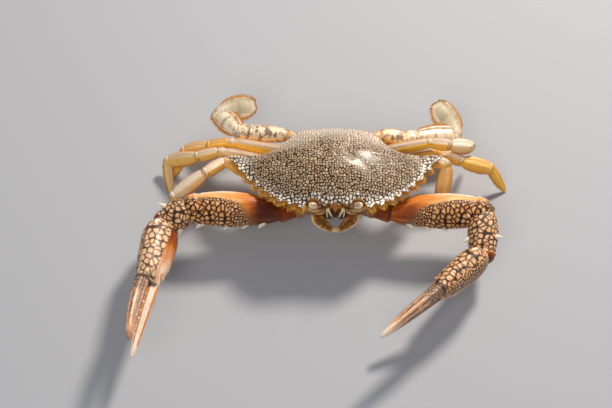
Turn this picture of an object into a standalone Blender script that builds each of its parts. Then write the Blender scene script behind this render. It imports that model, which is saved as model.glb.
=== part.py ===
"""Speckled swimming crab, a life-size still model, as closed solids."""
import math

import bmesh
import bpy
from mathutils import Vector

MM = 0.001
GAP = 0.3
SIDES = 10

BODY_HEIGHT = 38.5
BODY_PITCH = math.radians(9.0)
FLOOR_CENTRE = (-4.17, -26.87)

SHELL_CENTRE_Y = 3.0
DOME_RISE = 12.5
LATERAL_DROP = 4.5
REAR_DROP = 1.5
SPINE_LIFT = 1.4
SHELL_UNDERSIDE = 1.8
RIM_THICKNESS = 1.0

# Smooth outline of the shell about its centre, without teeth: degrees from
# the left side (negative forward) and radius.
OUTLINE = (
    (-90, 30.0), (-67, 31.2), (-48, 36.0), (-31, 39.5), (-16, 44.8), (-4, 50.1), (5, 51.7),
    (12, 47.0), (18, 40.0), (30, 34.4), (44, 34.2), (56, 34.7), (72, 32.4), (90, 31.0),
)
FRONT_EDGE = (
    (0.0, -25.6), (1.9, -27.2), (3.7, -25.5), (6.1, -27.9), (7.9, -25.6), (8.9, -26.2),
    (9.9, -24.2), (12.0, -23.4), (14.4, -23.4), (16.2, -24.8),
)
SIDE_TEETH = (
    (18.8, -29.4), (25.8, -27.0), (32.2, -23.2), (37.0, -19.3), (41.4, -15.4),
    (45.6, -10.8), (50.2, -5.0), (55.8, 2.2), (64.0, 13.4),
)
NOTCH_DEPTH = 2.6
REAR_EDGE = (
    (46.5, 14.2), (41.0, 14.9), (35.0, 17.6), (29.8, 22.2), (25.6, 27.6), (21.6, 31.9),
    (16.5, 33.7), (8.5, 34.5), (0.0, 34.8),
)

# Each limb: coxa point, then (length, degrees forward of straight out,
# degrees above level) for each segment.
LIMBS = {
    "claw_right": ((24, -19, 25), ((7.4, 20, 0), (52.5, -2, 3), (17.5, 23, -20), (44.7, 83, 9))),
    "claw_left": ((24, -19, 25), ((7.4, 20, 0), (54.6, 0, 2), (26.5, 95, -13), (39.5, 135, 9))),
    "leg_1_right": ((26, -9, 23), ((44.5, -30, 6), (13.9, 34, -4), (24.1, 27, -27), (19.9, 113, -53))),
    "leg_2_right": ((26.5, 13.5, 20.5), ((42.8, -11, 6), (13.9, 4, -17), (23.7, -16, -32), (21.0, 98, -24))),
    "leg_3_right": ((27, 21, 25), ((36.1, -13, -2), (13.2, 2, -15), (18.4, -9, -29), (16.8, 60, -41))),
    "leg_1_left": ((26, -9, 23), ((37.7, -39, 6), (11.6, 18, 0), (24.2, 102, -48), (29.5, 164, -18))),
    "leg_2_left": ((26.5, 13.5, 20.5), ((38.4, -16, -1), (14.0, 24, 0), (18.2, 8, -13), (20.1, 33, -53))),
    "leg_3_left": ((27, 21, 25), ((31.0, -9, 6), (11.3, 11, 3), (14.0, -6, -14), (14.9, -75, -59))),
    "swim_right": ((27, 32, 27), ((24.0, -7, -2), (6.1, -5, -5), (19.6, -49, -1), (22.2, -171, 8))),
    "swim_left": ((27, 32, 27), ((16.5, 1, -12), (6.4, -17, -4), (25.9, -10, -9), (22.6, -123, 18))),
}

# Segment forms: (place along the length, half width, half thickness) and,
# where the middle lies off the axis, how far it is raised.
FORMS = {
    "ischium": ((0.0, 4.9, 4.7), (1.0, 5.2, 4.9)),
    "claw_merus": ((0.0, 4.9, 4.7), (0.25, 7.9, 6.2, 1.0), (0.58, 9.8, 7.2, 0.8), (1.0, 8.0, 6.4)),
    "claw_carpus": ((0.0, 6.6, 6.0), (0.45, 8.8, 7.6), (1.0, 7.2, 6.6)),
    "palm": ((0.0, 6.4, 5.8), (0.2, 9.8, 7.6), (0.6, 10.4, 7.9), (1.0, 8.4, 6.2)),
    "merus": ((0.0, 3.0, 2.3), (0.35, 3.8, 2.5), (0.75, 3.7, 2.4), (1.0, 3.0, 2.2)),
    "carpus": ((0.0, 2.9, 2.2), (0.5, 3.6, 2.5), (1.0, 3.3, 2.1)),
    "propodus": ((0.0, 3.1, 2.1), (0.4, 4.2, 2.2), (0.8, 3.8, 2.0), (1.0, 3.0, 1.8)),
    "dactylus": ((0.0, 2.7, 1.7), (0.35, 2.7, 1.6), (0.75, 1.8, 1.1), (1.0, 0.75, 0.6)),
    "swim_merus": ((0.0, 3.6, 2.8), (0.5, 5.0, 3.0), (1.0, 4.6, 2.6)),
    "swim_carpus": ((0.0, 4.4, 2.4), (0.5, 4.9, 2.4), (1.0, 4.5, 2.0)),
    "swim_propodus": ((0.0, 4.5, 1.9), (0.5, 6.6, 1.5), (1.0, 5.6, 1.2)),
    "paddle": ((0.0, 3.4, 1.0), (0.25, 6.4, 0.9), (0.6, 7.3, 0.8), (0.88, 5.0, 0.6), (1.0, 1.8, 0.45)),
}
# The way the broad face of each leg segment looks.
LEG_FACES = (
    Vector((0.0, -0.9, 0.44)), Vector((0.0, -0.8, 0.6)), Vector((0.0, -0.6, 0.8)), Vector((0.0, -0.6, 0.8)))
CLAW_FACE = Vector((0.0, -0.5, 0.86))
UP_AND_BACK = Vector((0.0, 0.8, 0.6))
SWIM_FACE = Vector((0.0, -0.35, 0.94))

# Spines of the claws: segment, then (place along it, degrees from its front
# edge towards its outer face, length, root radius, lean towards the tip).
SPINES = {
    "claw_right_merus": ((0.2, 0, 3.6, 1.5, 0.5), (0.38, -4, 3.4, 1.5, 0.5), (0.58, -6, 3.4, 1.5, 0.5),
                         (0.86, -10, 4.6, 1.7, 0.8)),
    "claw_left_merus": ((0.22, 0, 3.4, 1.5, 0.5), (0.4, -4, 3.4, 1.5, 0.5), (0.58, -6, 3.2, 1.5, 0.5),
                        (0.82, 70, 2.6, 1.4, 0.3)),
    "claw_right_carpus": ((0.68, 170, 4.4, 1.6, 0.5), (0.62, 15, 4.4, 1.7, 0.6)),
    "claw_left_carpus": ((0.66, 170, 3.8, 1.6, 0.5), (0.6, 35, 4.6, 1.5, 0.1)),
    "claw_right_propodus": ((0.14, 150, 3.2, 1.5, 0.9), (0.88, 62, 2.6, 1.3, 1.2), (0.86, 118, 2.4, 1.3, 1.2)),
    "claw_left_propodus": ((0.16, 150, 3.2, 1.5, 0.9), (0.88, 62, 2.6, 1.3, 1.2), (0.86, 118, 2.4, 1.3, 1.2)),
}
# Blunt teeth along each finger: place along it, height and root radius.
FINGER_TEETH = (
    (0.14, 1.5, 1.2), (0.26, 1.9, 1.5), (0.38, 1.5, 1.2), (0.49, 1.7, 1.3), (0.6, 1.3, 1.0), (0.7, 1.2, 0.9),
)

COLOURS = {
    "shell": (0.13, 0.10, 0.07),
    "claw": (0.32, 0.17, 0.08),
    "leg": (0.78, 0.48, 0.15),
    "paddle": (0.72, 0.62, 0.40),
    "face": (0.42, 0.20, 0.07),
    "eye": (0.62, 0.45, 0.36),
    "pale": (0.75, 0.66, 0.50),
}

for old in list(bpy.data.objects):
    bpy.data.objects.remove(old, do_unlink=True)

model = bpy.data.collections.new("speckled_crab")
bpy.context.scene.collection.children.link(model)


def body(x, y, z):
    """A point given in the body's own frame, in the standing model's frame."""
    cosine = math.cos(BODY_PITCH)
    sine = math.sin(BODY_PITCH)
    return Vector((x, y * cosine + z * sine, BODY_HEIGHT - y * sine + z * cosine))


def outline_radius(angle):
    """Smooth radius of the shell at an angle from the left side, in degrees."""
    angle = (angle + 180.0) % 360.0 - 180.0
    if angle > 90.0:
        angle = 180.0 - angle
    if angle < -90.0:
        angle = -180.0 - angle
    knots = [(-180 - OUTLINE[1][0], OUTLINE[1][1])]
    knots += list(OUTLINE)
    knots.append((180 - OUTLINE[-2][0], OUTLINE[-2][1]))
    for k in range(1, len(knots) - 2):
        if angle <= knots[k + 1][0]:
            break
    before, low, high, after = knots[k - 1], knots[k], knots[k + 1], knots[k + 2]
    span = high[0] - low[0]
    t = (angle - low[0]) / span
    slope_low = (high[1] - before[1]) / (high[0] - before[0]) * span
    slope_high = (after[1] - low[1]) / (after[0] - low[0]) * span
    return (
        (2 * t ** 3 - 3 * t ** 2 + 1) * low[1] + (t ** 3 - 2 * t ** 2 + t) * slope_low
        + (3 * t ** 2 - 2 * t ** 3) * high[1] + (t ** 3 - t ** 2) * slope_high
    )


def brim(x, y):
    """Height of the shell's edge surface."""
    side = min(abs(x), 50.0) / 55.0
    rear = max(0.0, (y - 14.0) / 19.0)
    spine = max(0.0, (abs(x) - 50.0) / 14.0)
    return -LATERAL_DROP * side ** 2 - REAR_DROP * rear ** 2 + SPINE_LIFT * spine


def dome(x, y):
    """Height of the shell's upper surface."""
    dy = y - SHELL_CENTRE_Y
    share = math.hypot(x, dy) / outline_radius(math.degrees(math.atan2(dy, x)))
    return brim(x, y) + DOME_RISE * max(0.0, 1.0 - share * share)


def shell_edge():
    """The toothed margin, from front centre round the left side and back."""
    half = list(FRONT_EDGE)
    half.append(SIDE_TEETH[0])
    for near, far in zip(SIDE_TEETH, SIDE_TEETH[1:]):
        place = 0.66 if far is not SIDE_TEETH[-1] else 0.3
        x = near[0] + (far[0] - near[0]) * place
        y = near[1] + (far[1] - near[1]) * place
        inward = Vector((-x, SHELL_CENTRE_Y - y)).normalized() * NOTCH_DEPTH
        half.append((x + inward.x, y + inward.y))
        half.append(far)
    half += REAR_EDGE
    other = [(-x, y) for x, y in half[-2:0:-1]]
    return half + other


def add_mesh(name, points, faces):
    mesh = bpy.data.meshes.new(name)
    mesh.from_pydata([tuple(p * MM) for p in points], [], faces)
    bm = bmesh.new()
    bm.from_mesh(mesh)
    bmesh.ops.remove_doubles(bm, verts=bm.verts, dist=1e-7)
    bmesh.ops.recalc_face_normals(bm, faces=bm.faces)
    bm.to_mesh(mesh)
    bm.free()
    return bpy.data.objects.new(name, mesh)


def keep(obj, colour):
    """Take a finished solid into the model with its material."""
    model.objects.link(obj)
    for vertex in obj.data.vertices:
        vertex.co.x -= FLOOR_CENTRE[0] * MM
        vertex.co.y -= FLOOR_CENTRE[1] * MM
    material = bpy.data.materials.new("colour_" + obj.name)
    material.use_nodes = True
    shader = material.node_tree.nodes["Principled BSDF"]
    shader.inputs["Base Color"].default_value = (*COLOURS[colour], 1.0)
    shader.inputs["Roughness"].default_value = 0.45
    obj.data.materials.clear()
    obj.data.materials.append(material)
    return obj


def loft(name, rings, first=None, last=None):
    """A closed skin over rings of equal size, with fans to the end points."""
    sides = len(rings[0])
    points = [p for ring in rings for p in ring]
    faces = []
    for r in range(len(rings) - 1):
        for k in range(sides):
            n = (k + 1) % sides
            a, b = r * sides + k, r * sides + n
            c, d = (r + 1) * sides + n, (r + 1) * sides + k
            faces += [(a, b, c), (a, c, d)]
    for ring_index, tip in ((0, first), (len(rings) - 1, last)):
        if tip is None:
            tip = sum(rings[ring_index], Vector()) / sides
        points.append(tip)
        centre = len(points) - 1
        for k in range(sides):
            pair = (ring_index * sides + k, ring_index * sides + (k + 1) % sides)
            faces.append((pair[0], centre, pair[1]) if ring_index == 0 else (*pair, centre))
    return add_mesh(name, points, faces)


def section(centre, across, through, half_width, half_thick, sides, square=2.4):
    ring = []
    for k in range(sides):
        angle = 2.0 * math.pi * (k + 0.5) / sides
        c, s = math.cos(angle), math.sin(angle)
        c = math.copysign(abs(c) ** (2.0 / square), c)
        s = math.copysign(abs(s) ** (2.0 / square), s)
        ring.append(centre + across * (half_width * c) + through * (half_thick * s))
    return ring


def cut(obj, point, normal):
    """Cut away everything on the far side of a plane and close the cut."""
    bm = bmesh.new()
    bm.from_mesh(obj.data)
    whole = list(bm.verts) + list(bm.edges) + list(bm.faces)
    result = bmesh.ops.bisect_plane(
        bm, geom=whole, dist=1e-7, plane_co=point * MM, plane_no=normal, clear_outer=True)
    rim = [e for e in result["geom_cut"] if isinstance(e, bmesh.types.BMEdge)]
    if rim:
        bmesh.ops.holes_fill(bm, edges=[e for e in bm.edges if e.is_boundary], sides=0)
    bmesh.ops.remove_doubles(bm, verts=bm.verts, dist=2e-6)
    bmesh.ops.triangulate(bm, faces=bm.faces)
    bmesh.ops.recalc_face_normals(bm, faces=bm.faces)
    bm.to_mesh(obj.data)
    bm.free()


def unite(obj, others):
    """Join solids to one closed surface and keep the largest."""
    model.objects.link(obj)
    for other in others:
        model.objects.link(other)
        joiner = obj.modifiers.new("join", "BOOLEAN")
        joiner.operation = "UNION"
        joiner.solver = "EXACT"
        joiner.object = other
    depsgraph = bpy.context.evaluated_depsgraph_get()
    mesh = bpy.data.meshes.new_from_object(obj.evaluated_get(depsgraph))
    obj.modifiers.clear()
    obj.data = mesh
    for other in others:
        bpy.data.objects.remove(other, do_unlink=True)
    bm = bmesh.new()
    bm.from_mesh(mesh)
    bmesh.ops.remove_doubles(bm, verts=bm.verts, dist=2e-6)
    bmesh.ops.dissolve_degenerate(bm, edges=bm.edges, dist=2e-6)
    bmesh.ops.triangulate(bm, faces=bm.faces)
    seen = set()
    largest = []
    for face in bm.faces:
        if face in seen:
            continue
        island = [face]
        seen.add(face)
        for member in island:
            for edge in member.edges:
                for near in edge.link_faces:
                    if near not in seen:
                        seen.add(near)
                        island.append(near)
        if len(island) > len(largest):
            largest = island
    bmesh.ops.delete(bm, geom=[f for f in bm.faces if f not in set(largest)], context="FACES")
    bmesh.ops.recalc_face_normals(bm, faces=bm.faces)
    bm.to_mesh(mesh)
    bm.free()
    model.objects.unlink(obj)
    return obj


def limb_points(name):
    """Joint points of a limb, from the coxa to the end of its last segment."""
    side = 1.0 if name.endswith("left") else -1.0
    base, segments = LIMBS[name]
    point = Vector((side * base[0], base[1], base[2]))
    points = [point]
    for length, forward, rise in segments:
        forward, rise = math.radians(forward), math.radians(rise)
        step = Vector((
            side * math.cos(forward) * math.cos(rise),
            -math.sin(forward) * math.cos(rise),
            math.sin(rise)))
        point = point + step * length
        points.append(point)
    return points


def segment_frame(start, end, face):
    """Unit vectors along a segment, across it to its rear edge, and through it."""
    axis = (end - start).normalized()
    across = axis.cross(face).normalized()
    if across.dot(UP_AND_BACK) < 0.0:
        across.negate()
    return axis, across, across.cross(axis)


def form_at(form, place):
    """Half width, half thickness and raise of a form at a place along it."""
    stations = [(*row, 0.0)[:4] for row in FORMS[form]]
    for low, high in zip(stations, stations[1:]):
        if place <= high[0]:
            break
    t = (place - low[0]) / (high[0] - low[0])
    return [a + (b - a) * t for a, b in zip(low[1:], high[1:])]


def thorn(root, direction, length, radius, bend=None):
    """A pointed spine of five sides whose root is sunk in what carries it."""
    across = direction.orthogonal().normalized()
    through = direction.cross(across)
    rings = [
        section(root - direction * radius, across, through, radius, radius, 5, 2.0),
        section(root + direction * (length * 0.5), across, through, radius * 0.62, radius * 0.62, 5, 2.0),
    ]
    return loft("thorn", rings, None, root + direction * length + (bend or Vector()))


def spines_of(name, start, end, face, form):
    """The spines of one claw segment, ready to be joined to it."""
    axis, across, through = segment_frame(start, end, face)
    if through.z < 0.0:
        through = -through
    spines = []
    for place, degrees, length, radius, lean in SPINES.get(name, ()):
        width, thick, raised = form_at(form, place)
        c, s = math.cos(math.radians(degrees)), math.sin(math.radians(degrees))
        root = start.lerp(end, place) + across * raised - across * (width * c * 0.9) + through * (thick * s * 0.9)
        outward = (through * s - across * c + axis * lean).normalized()
        spines.append(thorn(root, outward, length, radius, axis * (lean * 0.4)))
    return spines


def podomere(name, start, end, face, form, before=None, after=None, sides=SIDES, tip=False):
    """One limb segment, cut at the mid planes of its joints."""
    axis, across, through = segment_frame(start, end, face)
    length = (end - start).length
    rings = []
    stations = FORMS[form]
    root = stations[0]
    for share in (0.85, 0.45):
        size = math.sqrt(1.0 - share * share)
        rings.append(section(start - axis * (root[1] * share), across, through,
                             root[1] * size, root[2] * size, sides))
    for place, width, thick, *raised in stations:
        middle = start + axis * (place * length) + across * (raised[0] if raised else 0.0)
        rings.append(section(middle, across, through, width, thick, sides))
    first = start - axis * root[1]
    last = None
    if not tip:
        end_form = stations[-1]
        for share in (0.45, 0.85):
            size = math.sqrt(1.0 - share * share)
            rings.append(section(end + axis * (end_form[1] * share), across, through,
                                 end_form[1] * size, end_form[2] * size, sides))
        last = end + axis * end_form[1]
    obj = loft(name, rings, first, last)
    if before is not None:
        plane = (axis + before).normalized()
        cut(obj, start + plane * (GAP / 2.0), -plane)
    if after is not None:
        plane = (axis + after).normalized()
        cut(obj, end - plane * (GAP / 2.0), plane)
    return obj


def rod(name, points, radii, sides=6, lead=None):
    """A round rod through points, tapering by its radii; lead turns its first end."""
    rings = []
    for k, (point, radius) in enumerate(zip(points, radii)):
        low = points[max(0, k - 1)]
        high = points[min(len(points) - 1, k + 1)]
        axis = (high - low).normalized()
        if k == 0 and lead is not None:
            axis = lead
        across = axis.orthogonal().normalized() if k == 0 else (across - axis * across.dot(axis)).normalized()
        rings.append(section(point, across, axis.cross(across), radius, radius, sides, 2.0))
    return loft(name, rings)


def blade(name, points, sizes, face, sides=8, lead=None):
    """A flattened rod through points whose broad side looks one way."""
    rings = []
    for k, (point, (half_width, half_thick)) in enumerate(zip(points, sizes)):
        low = points[max(0, k - 1)]
        high = points[min(len(points) - 1, k + 1)]
        axis = (high - low).normalized()
        if k == 0 and lead is not None:
            axis = lead
        across = axis.cross(face).normalized()
        rings.append(section(point, across, across.cross(axis), half_width, half_thick, sides, 2.2))
    return loft(name, rings)


def shell_grid():
    edge = shell_edge()
    radii = []
    for x, y in edge:
        dy = y - SHELL_CENTRE_Y
        radii.append((math.hypot(x, dy), outline_radius(math.degrees(math.atan2(dy, x)))))
    return edge, radii


def under_ring(edge, radii, share, lift):
    """A ring of the surface in which the shell and the underside meet."""
    ring = []
    for (x, y), (reach, smooth) in zip(edge, radii):
        scale = share * min(smooth, reach) / reach
        px, py = x * scale, SHELL_CENTRE_Y + (y - SHELL_CENTRE_Y) * scale
        ring.append(body(px, py, brim(px, py) - SHELL_UNDERSIDE + lift))
    return ring


def build_carapace():
    edge, radii = shell_grid()
    rings = []
    for share in (0.5, 0.86):
        rings.append(under_ring(edge, radii, share, 0.0))
    rings.append([
        body(x * 0.985, SHELL_CENTRE_Y + (y - SHELL_CENTRE_Y) * 0.985, brim(x, y) - RIM_THICKNESS)
        for x, y in edge])
    rings.append([body(x, y, brim(x, y) - 0.15) for x, y in edge])
    for share in (0.97, 0.88, 0.74, 0.55, 0.3):
        ring = []
        for (x, y), (reach, smooth) in zip(edge, radii):
            scale = share * min(smooth, reach) / reach
            px, py = x * scale, SHELL_CENTRE_Y + (y - SHELL_CENTRE_Y) * scale
            ring.append(body(px, py, dome(px, py)))
        rings.append(ring)
    first = body(0, SHELL_CENTRE_Y, brim(0, SHELL_CENTRE_Y) - SHELL_UNDERSIDE)
    last = body(0, SHELL_CENTRE_Y, dome(0, SHELL_CENTRE_Y))
    keep(loft("carapace", rings, first, last), "shell")


# Underside rings: depth, half width, front and rear ends.
UNDER_RINGS = (
    (-5.0, 39.0, -24.2, 27.5), (-8.5, 29.0, -24.4, 26.0), (-13.0, 23.0, -24.0, 25.0),
    (-17.5, 18.5, -20.5, 22.5),
)


def build_underbody():
    edge, radii = shell_grid()
    rings = [under_ring(edge, radii, share, -GAP) for share in (0.5, 0.86)]
    for depth, width, front, rear in UNDER_RINGS:
        ring = []
        for x, y in edge:
            angle = math.atan2(y - SHELL_CENTRE_Y, x)
            c, s = math.cos(angle), math.sin(angle)
            c = math.copysign(abs(c) ** 0.85, c)
            s = math.copysign(abs(s) ** 0.85, s)
            reach = rear - SHELL_CENTRE_Y if s > 0 else SHELL_CENTRE_Y - front
            ring.append(body(width * c, SHELL_CENTRE_Y + reach * s, depth))
        rings.append(ring)
    first = body(0, SHELL_CENTRE_Y, brim(0, SHELL_CENTRE_Y) - SHELL_UNDERSIDE - GAP)
    last = body(0, SHELL_CENTRE_Y, UNDER_RINGS[-1][0])
    core = loft("underbody", rings, first, last)
    stubs = []
    for name in LIMBS:
        points = limb_points(name)
        axis = (points[1] - points[0]).normalized()
        radius = 5.4 if name.startswith("claw") else 3.5
        if name.startswith("swim"):
            inner = Vector((points[0].x * 0.45, 19.0, points[0].z - 1.0))
        else:
            inner = points[0] - axis * 11.0
        lead = (points[0] - inner).normalized()
        coxa = rod("coxa", [inner, inner.lerp(points[0], 0.7), points[0] + lead * 3.0],
                   [radius, radius, radius * 0.86], 10)
        cut(coxa, points[0] - axis * (GAP / 2.0), axis)
        stubs.append(coxa)
    for point, direction, radius in SOCKETS.values():
        tip = body(*point)
        axis = direction_of(direction)
        stubs.append(rod("socket", [tip - axis * 4.5, tip - axis * GAP], [radius, radius], 8))
    for side in (1.0, -1.0):
        bar = [body(side * x, y, z) for x, y, z in LOWER_ORBIT]
        stubs.append(rod("lower_orbit", bar, [1.0, 1.4, 1.4, 1.0], 8))
    keep(unite(core, stubs), "face")


def direction_of(vector):
    """A direction given in the body's frame, in the standing frame."""
    return (body(*vector) - body(0, 0, 0)).normalized()


# The ridge under each eye, from its inner end outwards.
LOWER_ORBIT = ((9.4, -24.0, -6.0), (11.4, -24.6, -5.4), (14.6, -24.3, -4.9), (18.4, -22.6, -4.4))

# Where the small front limbs start, and which way they leave the body.
SOCKETS = {
    "eye_left": ((8.4, -25.0, -2.9), (0.93, -0.3, 0.34), 1.2),
    "antenna_left": ((6.6, -26.2, -6.2), (0.25, -0.95, 0.15), 1.2),
    "antennule_left": ((4.2, -26.4, -3.9), (-0.1, -1.0, 0.0), 1.1),
    "maxilliped_left": ((11.0, -25.6, -9.8), (0.0, -1.0, -0.4), 2.4),
}
for key in list(SOCKETS):
    place, heading, size = SOCKETS[key]
    SOCKETS[key.replace("left", "right")] = (
        (-place[0], place[1], place[2]), (-heading[0], heading[1], heading[2]), size)


def axis_of(name):
    return direction_of(SOCKETS[name][1])


# Steps along a mouth limb, from its socket inwards to where the pair meets.
MAXILLIPED = ((-0.3, -2.4, -1.2), (-1.6, -1.6, -2.5), (-3.2, -1.0, -2.5), (-3.0, -0.7, -1.3), (-1.7, -0.4, 0.9))


def build_front_limbs():
    for side, word in ((1.0, "left"), (-1.0, "right")):
        tip = body(*SOCKETS["eye_" + word][0])
        axis = direction_of(SOCKETS["eye_" + word][1])
        eye = rod("eye_" + word, [tip, tip + axis * 2.4, tip + axis * 3.4, tip + axis * 5.0,
                                  tip + axis * 6.6, tip + axis * 7.4],
                  [1.2, 1.2, 1.8, 2.1, 1.7, 0.8], 10)
        keep(eye, "eye")
        tip = body(*SOCKETS["antenna_" + word][0])
        path = [tip]
        for dx, dy, dz in ((0.5, -1.6, 0.4), (0.6, -1.9, 1.4), (1.4, -4.0, 4.0), (2.2, -4.2, 5.0)):
            path.append(path[-1] + body(side * dx, dy, dz) - body(0, 0, 0))
        keep(rod("antenna_" + word, path, [1.0, 0.9, 0.6, 0.4, 0.25], 6, axis_of("antenna_" + word)), "pale")
        tip = body(*SOCKETS["antennule_" + word][0])
        path = [tip]
        for dx, dy, dz in ((-0.5, -1.0, -1.4), (-1.0, -0.7, -2.0), (-0.7, -0.4, -1.6)):
            path.append(path[-1] + body(side * dx, dy, dz) - body(0, 0, 0))
        keep(rod("antennule_" + word, path, [1.0, 0.9, 0.7, 0.35], 6, axis_of("antennule_" + word)), "pale")
        tip = body(*SOCKETS["maxilliped_" + word][0])
        path = [tip]
        for dx, dy, dz in MAXILLIPED:
            path.append(path[-1] + body(side * dx, dy, dz) - body(0, 0, 0))
        palm_side = direction_of(Vector((-side * 0.2, -0.9, 0.4)))
        sizes = [(2.4, 2.0), (3.6, 1.6), (3.5, 1.4), (2.7, 1.3), (1.8, 1.2), (0.9, 0.8)]
        keep(blade("maxilliped_" + word, path, sizes, palm_side, 8, axis_of("maxilliped_" + word)), "face")


# Ends of the abdomen's segments: place from rear to front and half width.
ABDOMEN = ((20.5, 9.6), (16.8, 12.6), (12.6, 11.8), (7.0, 9.2), (1.4, 6.4), (-4.0, 4.4), (-8.6, 1.4))


def build_abdomen():
    """The abdomen folded flat under the body, a low ridge to each segment."""
    top = UNDER_RINGS[-1][0] - GAP
    rings = []
    for (rear, wide), (front, narrow) in zip(ABDOMEN, ABDOMEN[1:]):
        for place, depth in ((0.0, 1.6), (0.25, 2.4), (0.85, 2.3), (0.98, 1.6)):
            y = rear + (front - rear) * place
            width = wide + (narrow - wide) * place
            ring = [body(-width, y, top), body(width, y, top), body(width * 0.97, y, top - 0.8),
                    body(width * 0.6, y, top - depth * 0.86), body(0.0, y, top - depth),
                    body(-width * 0.6, y, top - depth * 0.86), body(-width * 0.97, y, top - 0.8)]
            rings.append(ring)
    keep(loft("abdomen", rings), "pale")


def build_claw(name):
    points = limb_points(name)
    side = 1.0 if name.endswith("left") else -1.0
    steps = [(b - a).normalized() for a, b in zip(points, points[1:])]
    keep(podomere(name + "_ischium", points[0], points[1], CLAW_FACE, "ischium",
                  steps[0], steps[1], 12), "claw")
    merus = podomere(name + "_merus", points[1], points[2], CLAW_FACE, "claw_merus", steps[0], steps[2], 12)
    thorns = spines_of(name + "_merus", points[1], points[2], CLAW_FACE, "claw_merus")
    keep(unite(merus, thorns), "claw")
    carpus = podomere(name + "_carpus", points[2], points[3], CLAW_FACE, "claw_carpus", steps[1], steps[3], 12)
    thorns = spines_of(name + "_carpus", points[2], points[3], CLAW_FACE, "claw_carpus")
    keep(unite(carpus, thorns), "claw")
    axis = steps[3]
    upward = CLAW_UP[name]
    upward = (upward - axis * upward.dot(axis)).normalized()
    flat = axis.cross(upward).normalized()
    palm = podomere("palm", points[3], points[4], flat, "palm", steps[2], axis, 14)
    fixed_tip, free_tip = CLAW_TIPS[name]
    root = points[4] - upward * 3.5
    finger = finger_solid("finger", root - axis * 5.0, root, fixed_tip, upward, flat, 3.6, 3.5, -1.0)
    added = [finger] + finger_teeth(root, fixed_tip, upward, 3.6, -1.0, 1.0)
    added += spines_of(name + "_propodus", points[3], points[4], flat, "palm")
    keep(unite(palm, added), "claw").name = name + "_propodus"
    root = points[4] + upward * 5.0
    finger = finger_solid(name + "_dactylus", root - axis * 2.0, root, free_tip, upward, flat, 4.4, 4.2, -2.4)
    finger = unite(finger, finger_teeth(root, free_tip, upward, 4.4, -2.4, -1.0))
    cut(finger, points[4] + axis * (GAP / 2.0), -axis)
    keep(finger, "claw")


CLAW_UP = {
    "claw_right": Vector((-0.64, 0.0, 0.77)),
    "claw_left": Vector((0.15, -0.05, 1.0)),
}
CLAW_TIPS = {
    "claw_right": (Vector((-111.0, -112.6, 24.0)), Vector((-111.0, -109.8, 40.0))),
    "claw_left": (Vector((24.3, -95.2, 13.0)), Vector((23.0, -105.0, 33.0))),
}


# Taper of a finger: place along it and share of its full size.
FINGER_TAPER = ((0.0, 1.0), (0.25, 0.92), (0.5, 0.76), (0.75, 0.54), (0.92, 0.3))


def finger_middle(root, tip, upward, bow, place):
    return root.lerp(tip, place) - upward * (bow * 2.0 * place * (1.0 - place))


def finger_solid(name, sunk, root, tip, upward, flat, high, wide, bow):
    """A curved tapering finger; bow moves its middle away from the other."""
    rings = [section(sunk, flat, upward, wide, high, 10, 2.0)]
    for place, size in FINGER_TAPER:
        centre = finger_middle(root, tip, upward, bow, place)
        rings.append(section(centre, flat, upward, wide * size, high * size, 10, 2.0))
    return loft(name, rings, None, tip)


def finger_teeth(root, tip, upward, high, bow, facing):
    """Blunt teeth along the edge of a finger that meets the other finger."""
    teeth = []
    for place, height, radius in FINGER_TEETH:
        for low, far in zip(FINGER_TAPER, FINGER_TAPER[1:]):
            if place <= far[0]:
                break
        size = low[1] + (far[1] - low[1]) * (place - low[0]) / (far[0] - low[0])
        middle = finger_middle(root, tip, upward, bow, place)
        edge = middle + upward * (facing * high * size * 0.86)
        teeth.append(thorn(edge, upward * facing, height * 0.85, radius))
    return teeth


def build_leg(name, forms, faces, colour):
    points = limb_points(name)
    steps = [(b - a).normalized() for a, b in zip(points, points[1:])]
    words = ("merus", "carpus", "propodus", "dactylus")
    for k, (word, form) in enumerate(zip(words, forms)):
        before = steps[k - 1] if k else steps[0]
        after = steps[k + 1] if k < 3 else None
        piece = podomere(name + "_" + word, points[k], points[k + 1], faces[k], form,
                         before, after, SIDES, tip=k == 3)
        if k == 3 and colour == "leg":
            cut(piece, Vector((0.0, 0.0, 0.0)), Vector((0.0, 0.0, -1.0)))
        keep(piece, colour)


build_carapace()
build_underbody()
build_abdomen()
build_front_limbs()
for claw in ("claw_left", "claw_right"):
    build_claw(claw)
for leg in ("leg_1", "leg_2", "leg_3"):
    for hand in ("_left", "_right"):
        build_leg(leg + hand, ("merus", "carpus", "propodus", "dactylus"), LEG_FACES, "leg")
for hand in ("left", "right"):
    build_leg("swim_" + hand, ("swim_merus", "swim_carpus", "swim_propodus", "paddle"),
              (SWIM_FACE,) * 4, "paddle")
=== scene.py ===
"""Looks of the speckled swimming crab model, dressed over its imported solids."""
import math

import bpy
import numpy as np
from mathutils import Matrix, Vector


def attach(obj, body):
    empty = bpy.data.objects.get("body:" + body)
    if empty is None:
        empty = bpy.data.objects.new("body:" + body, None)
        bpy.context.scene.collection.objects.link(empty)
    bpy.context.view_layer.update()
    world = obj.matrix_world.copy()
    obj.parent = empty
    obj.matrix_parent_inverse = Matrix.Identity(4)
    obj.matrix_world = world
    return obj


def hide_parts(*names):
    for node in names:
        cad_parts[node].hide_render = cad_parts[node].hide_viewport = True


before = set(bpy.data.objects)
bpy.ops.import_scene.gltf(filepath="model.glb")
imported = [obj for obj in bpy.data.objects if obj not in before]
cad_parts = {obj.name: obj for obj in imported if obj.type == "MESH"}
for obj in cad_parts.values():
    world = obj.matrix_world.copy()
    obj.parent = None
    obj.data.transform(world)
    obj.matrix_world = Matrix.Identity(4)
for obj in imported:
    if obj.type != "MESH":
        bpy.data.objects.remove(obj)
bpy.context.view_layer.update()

# Sizes are in millimetres, in the frame the solids are worked out in. Its
# floor point FLOOR_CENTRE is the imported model's origin.
MM = 0.001
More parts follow.
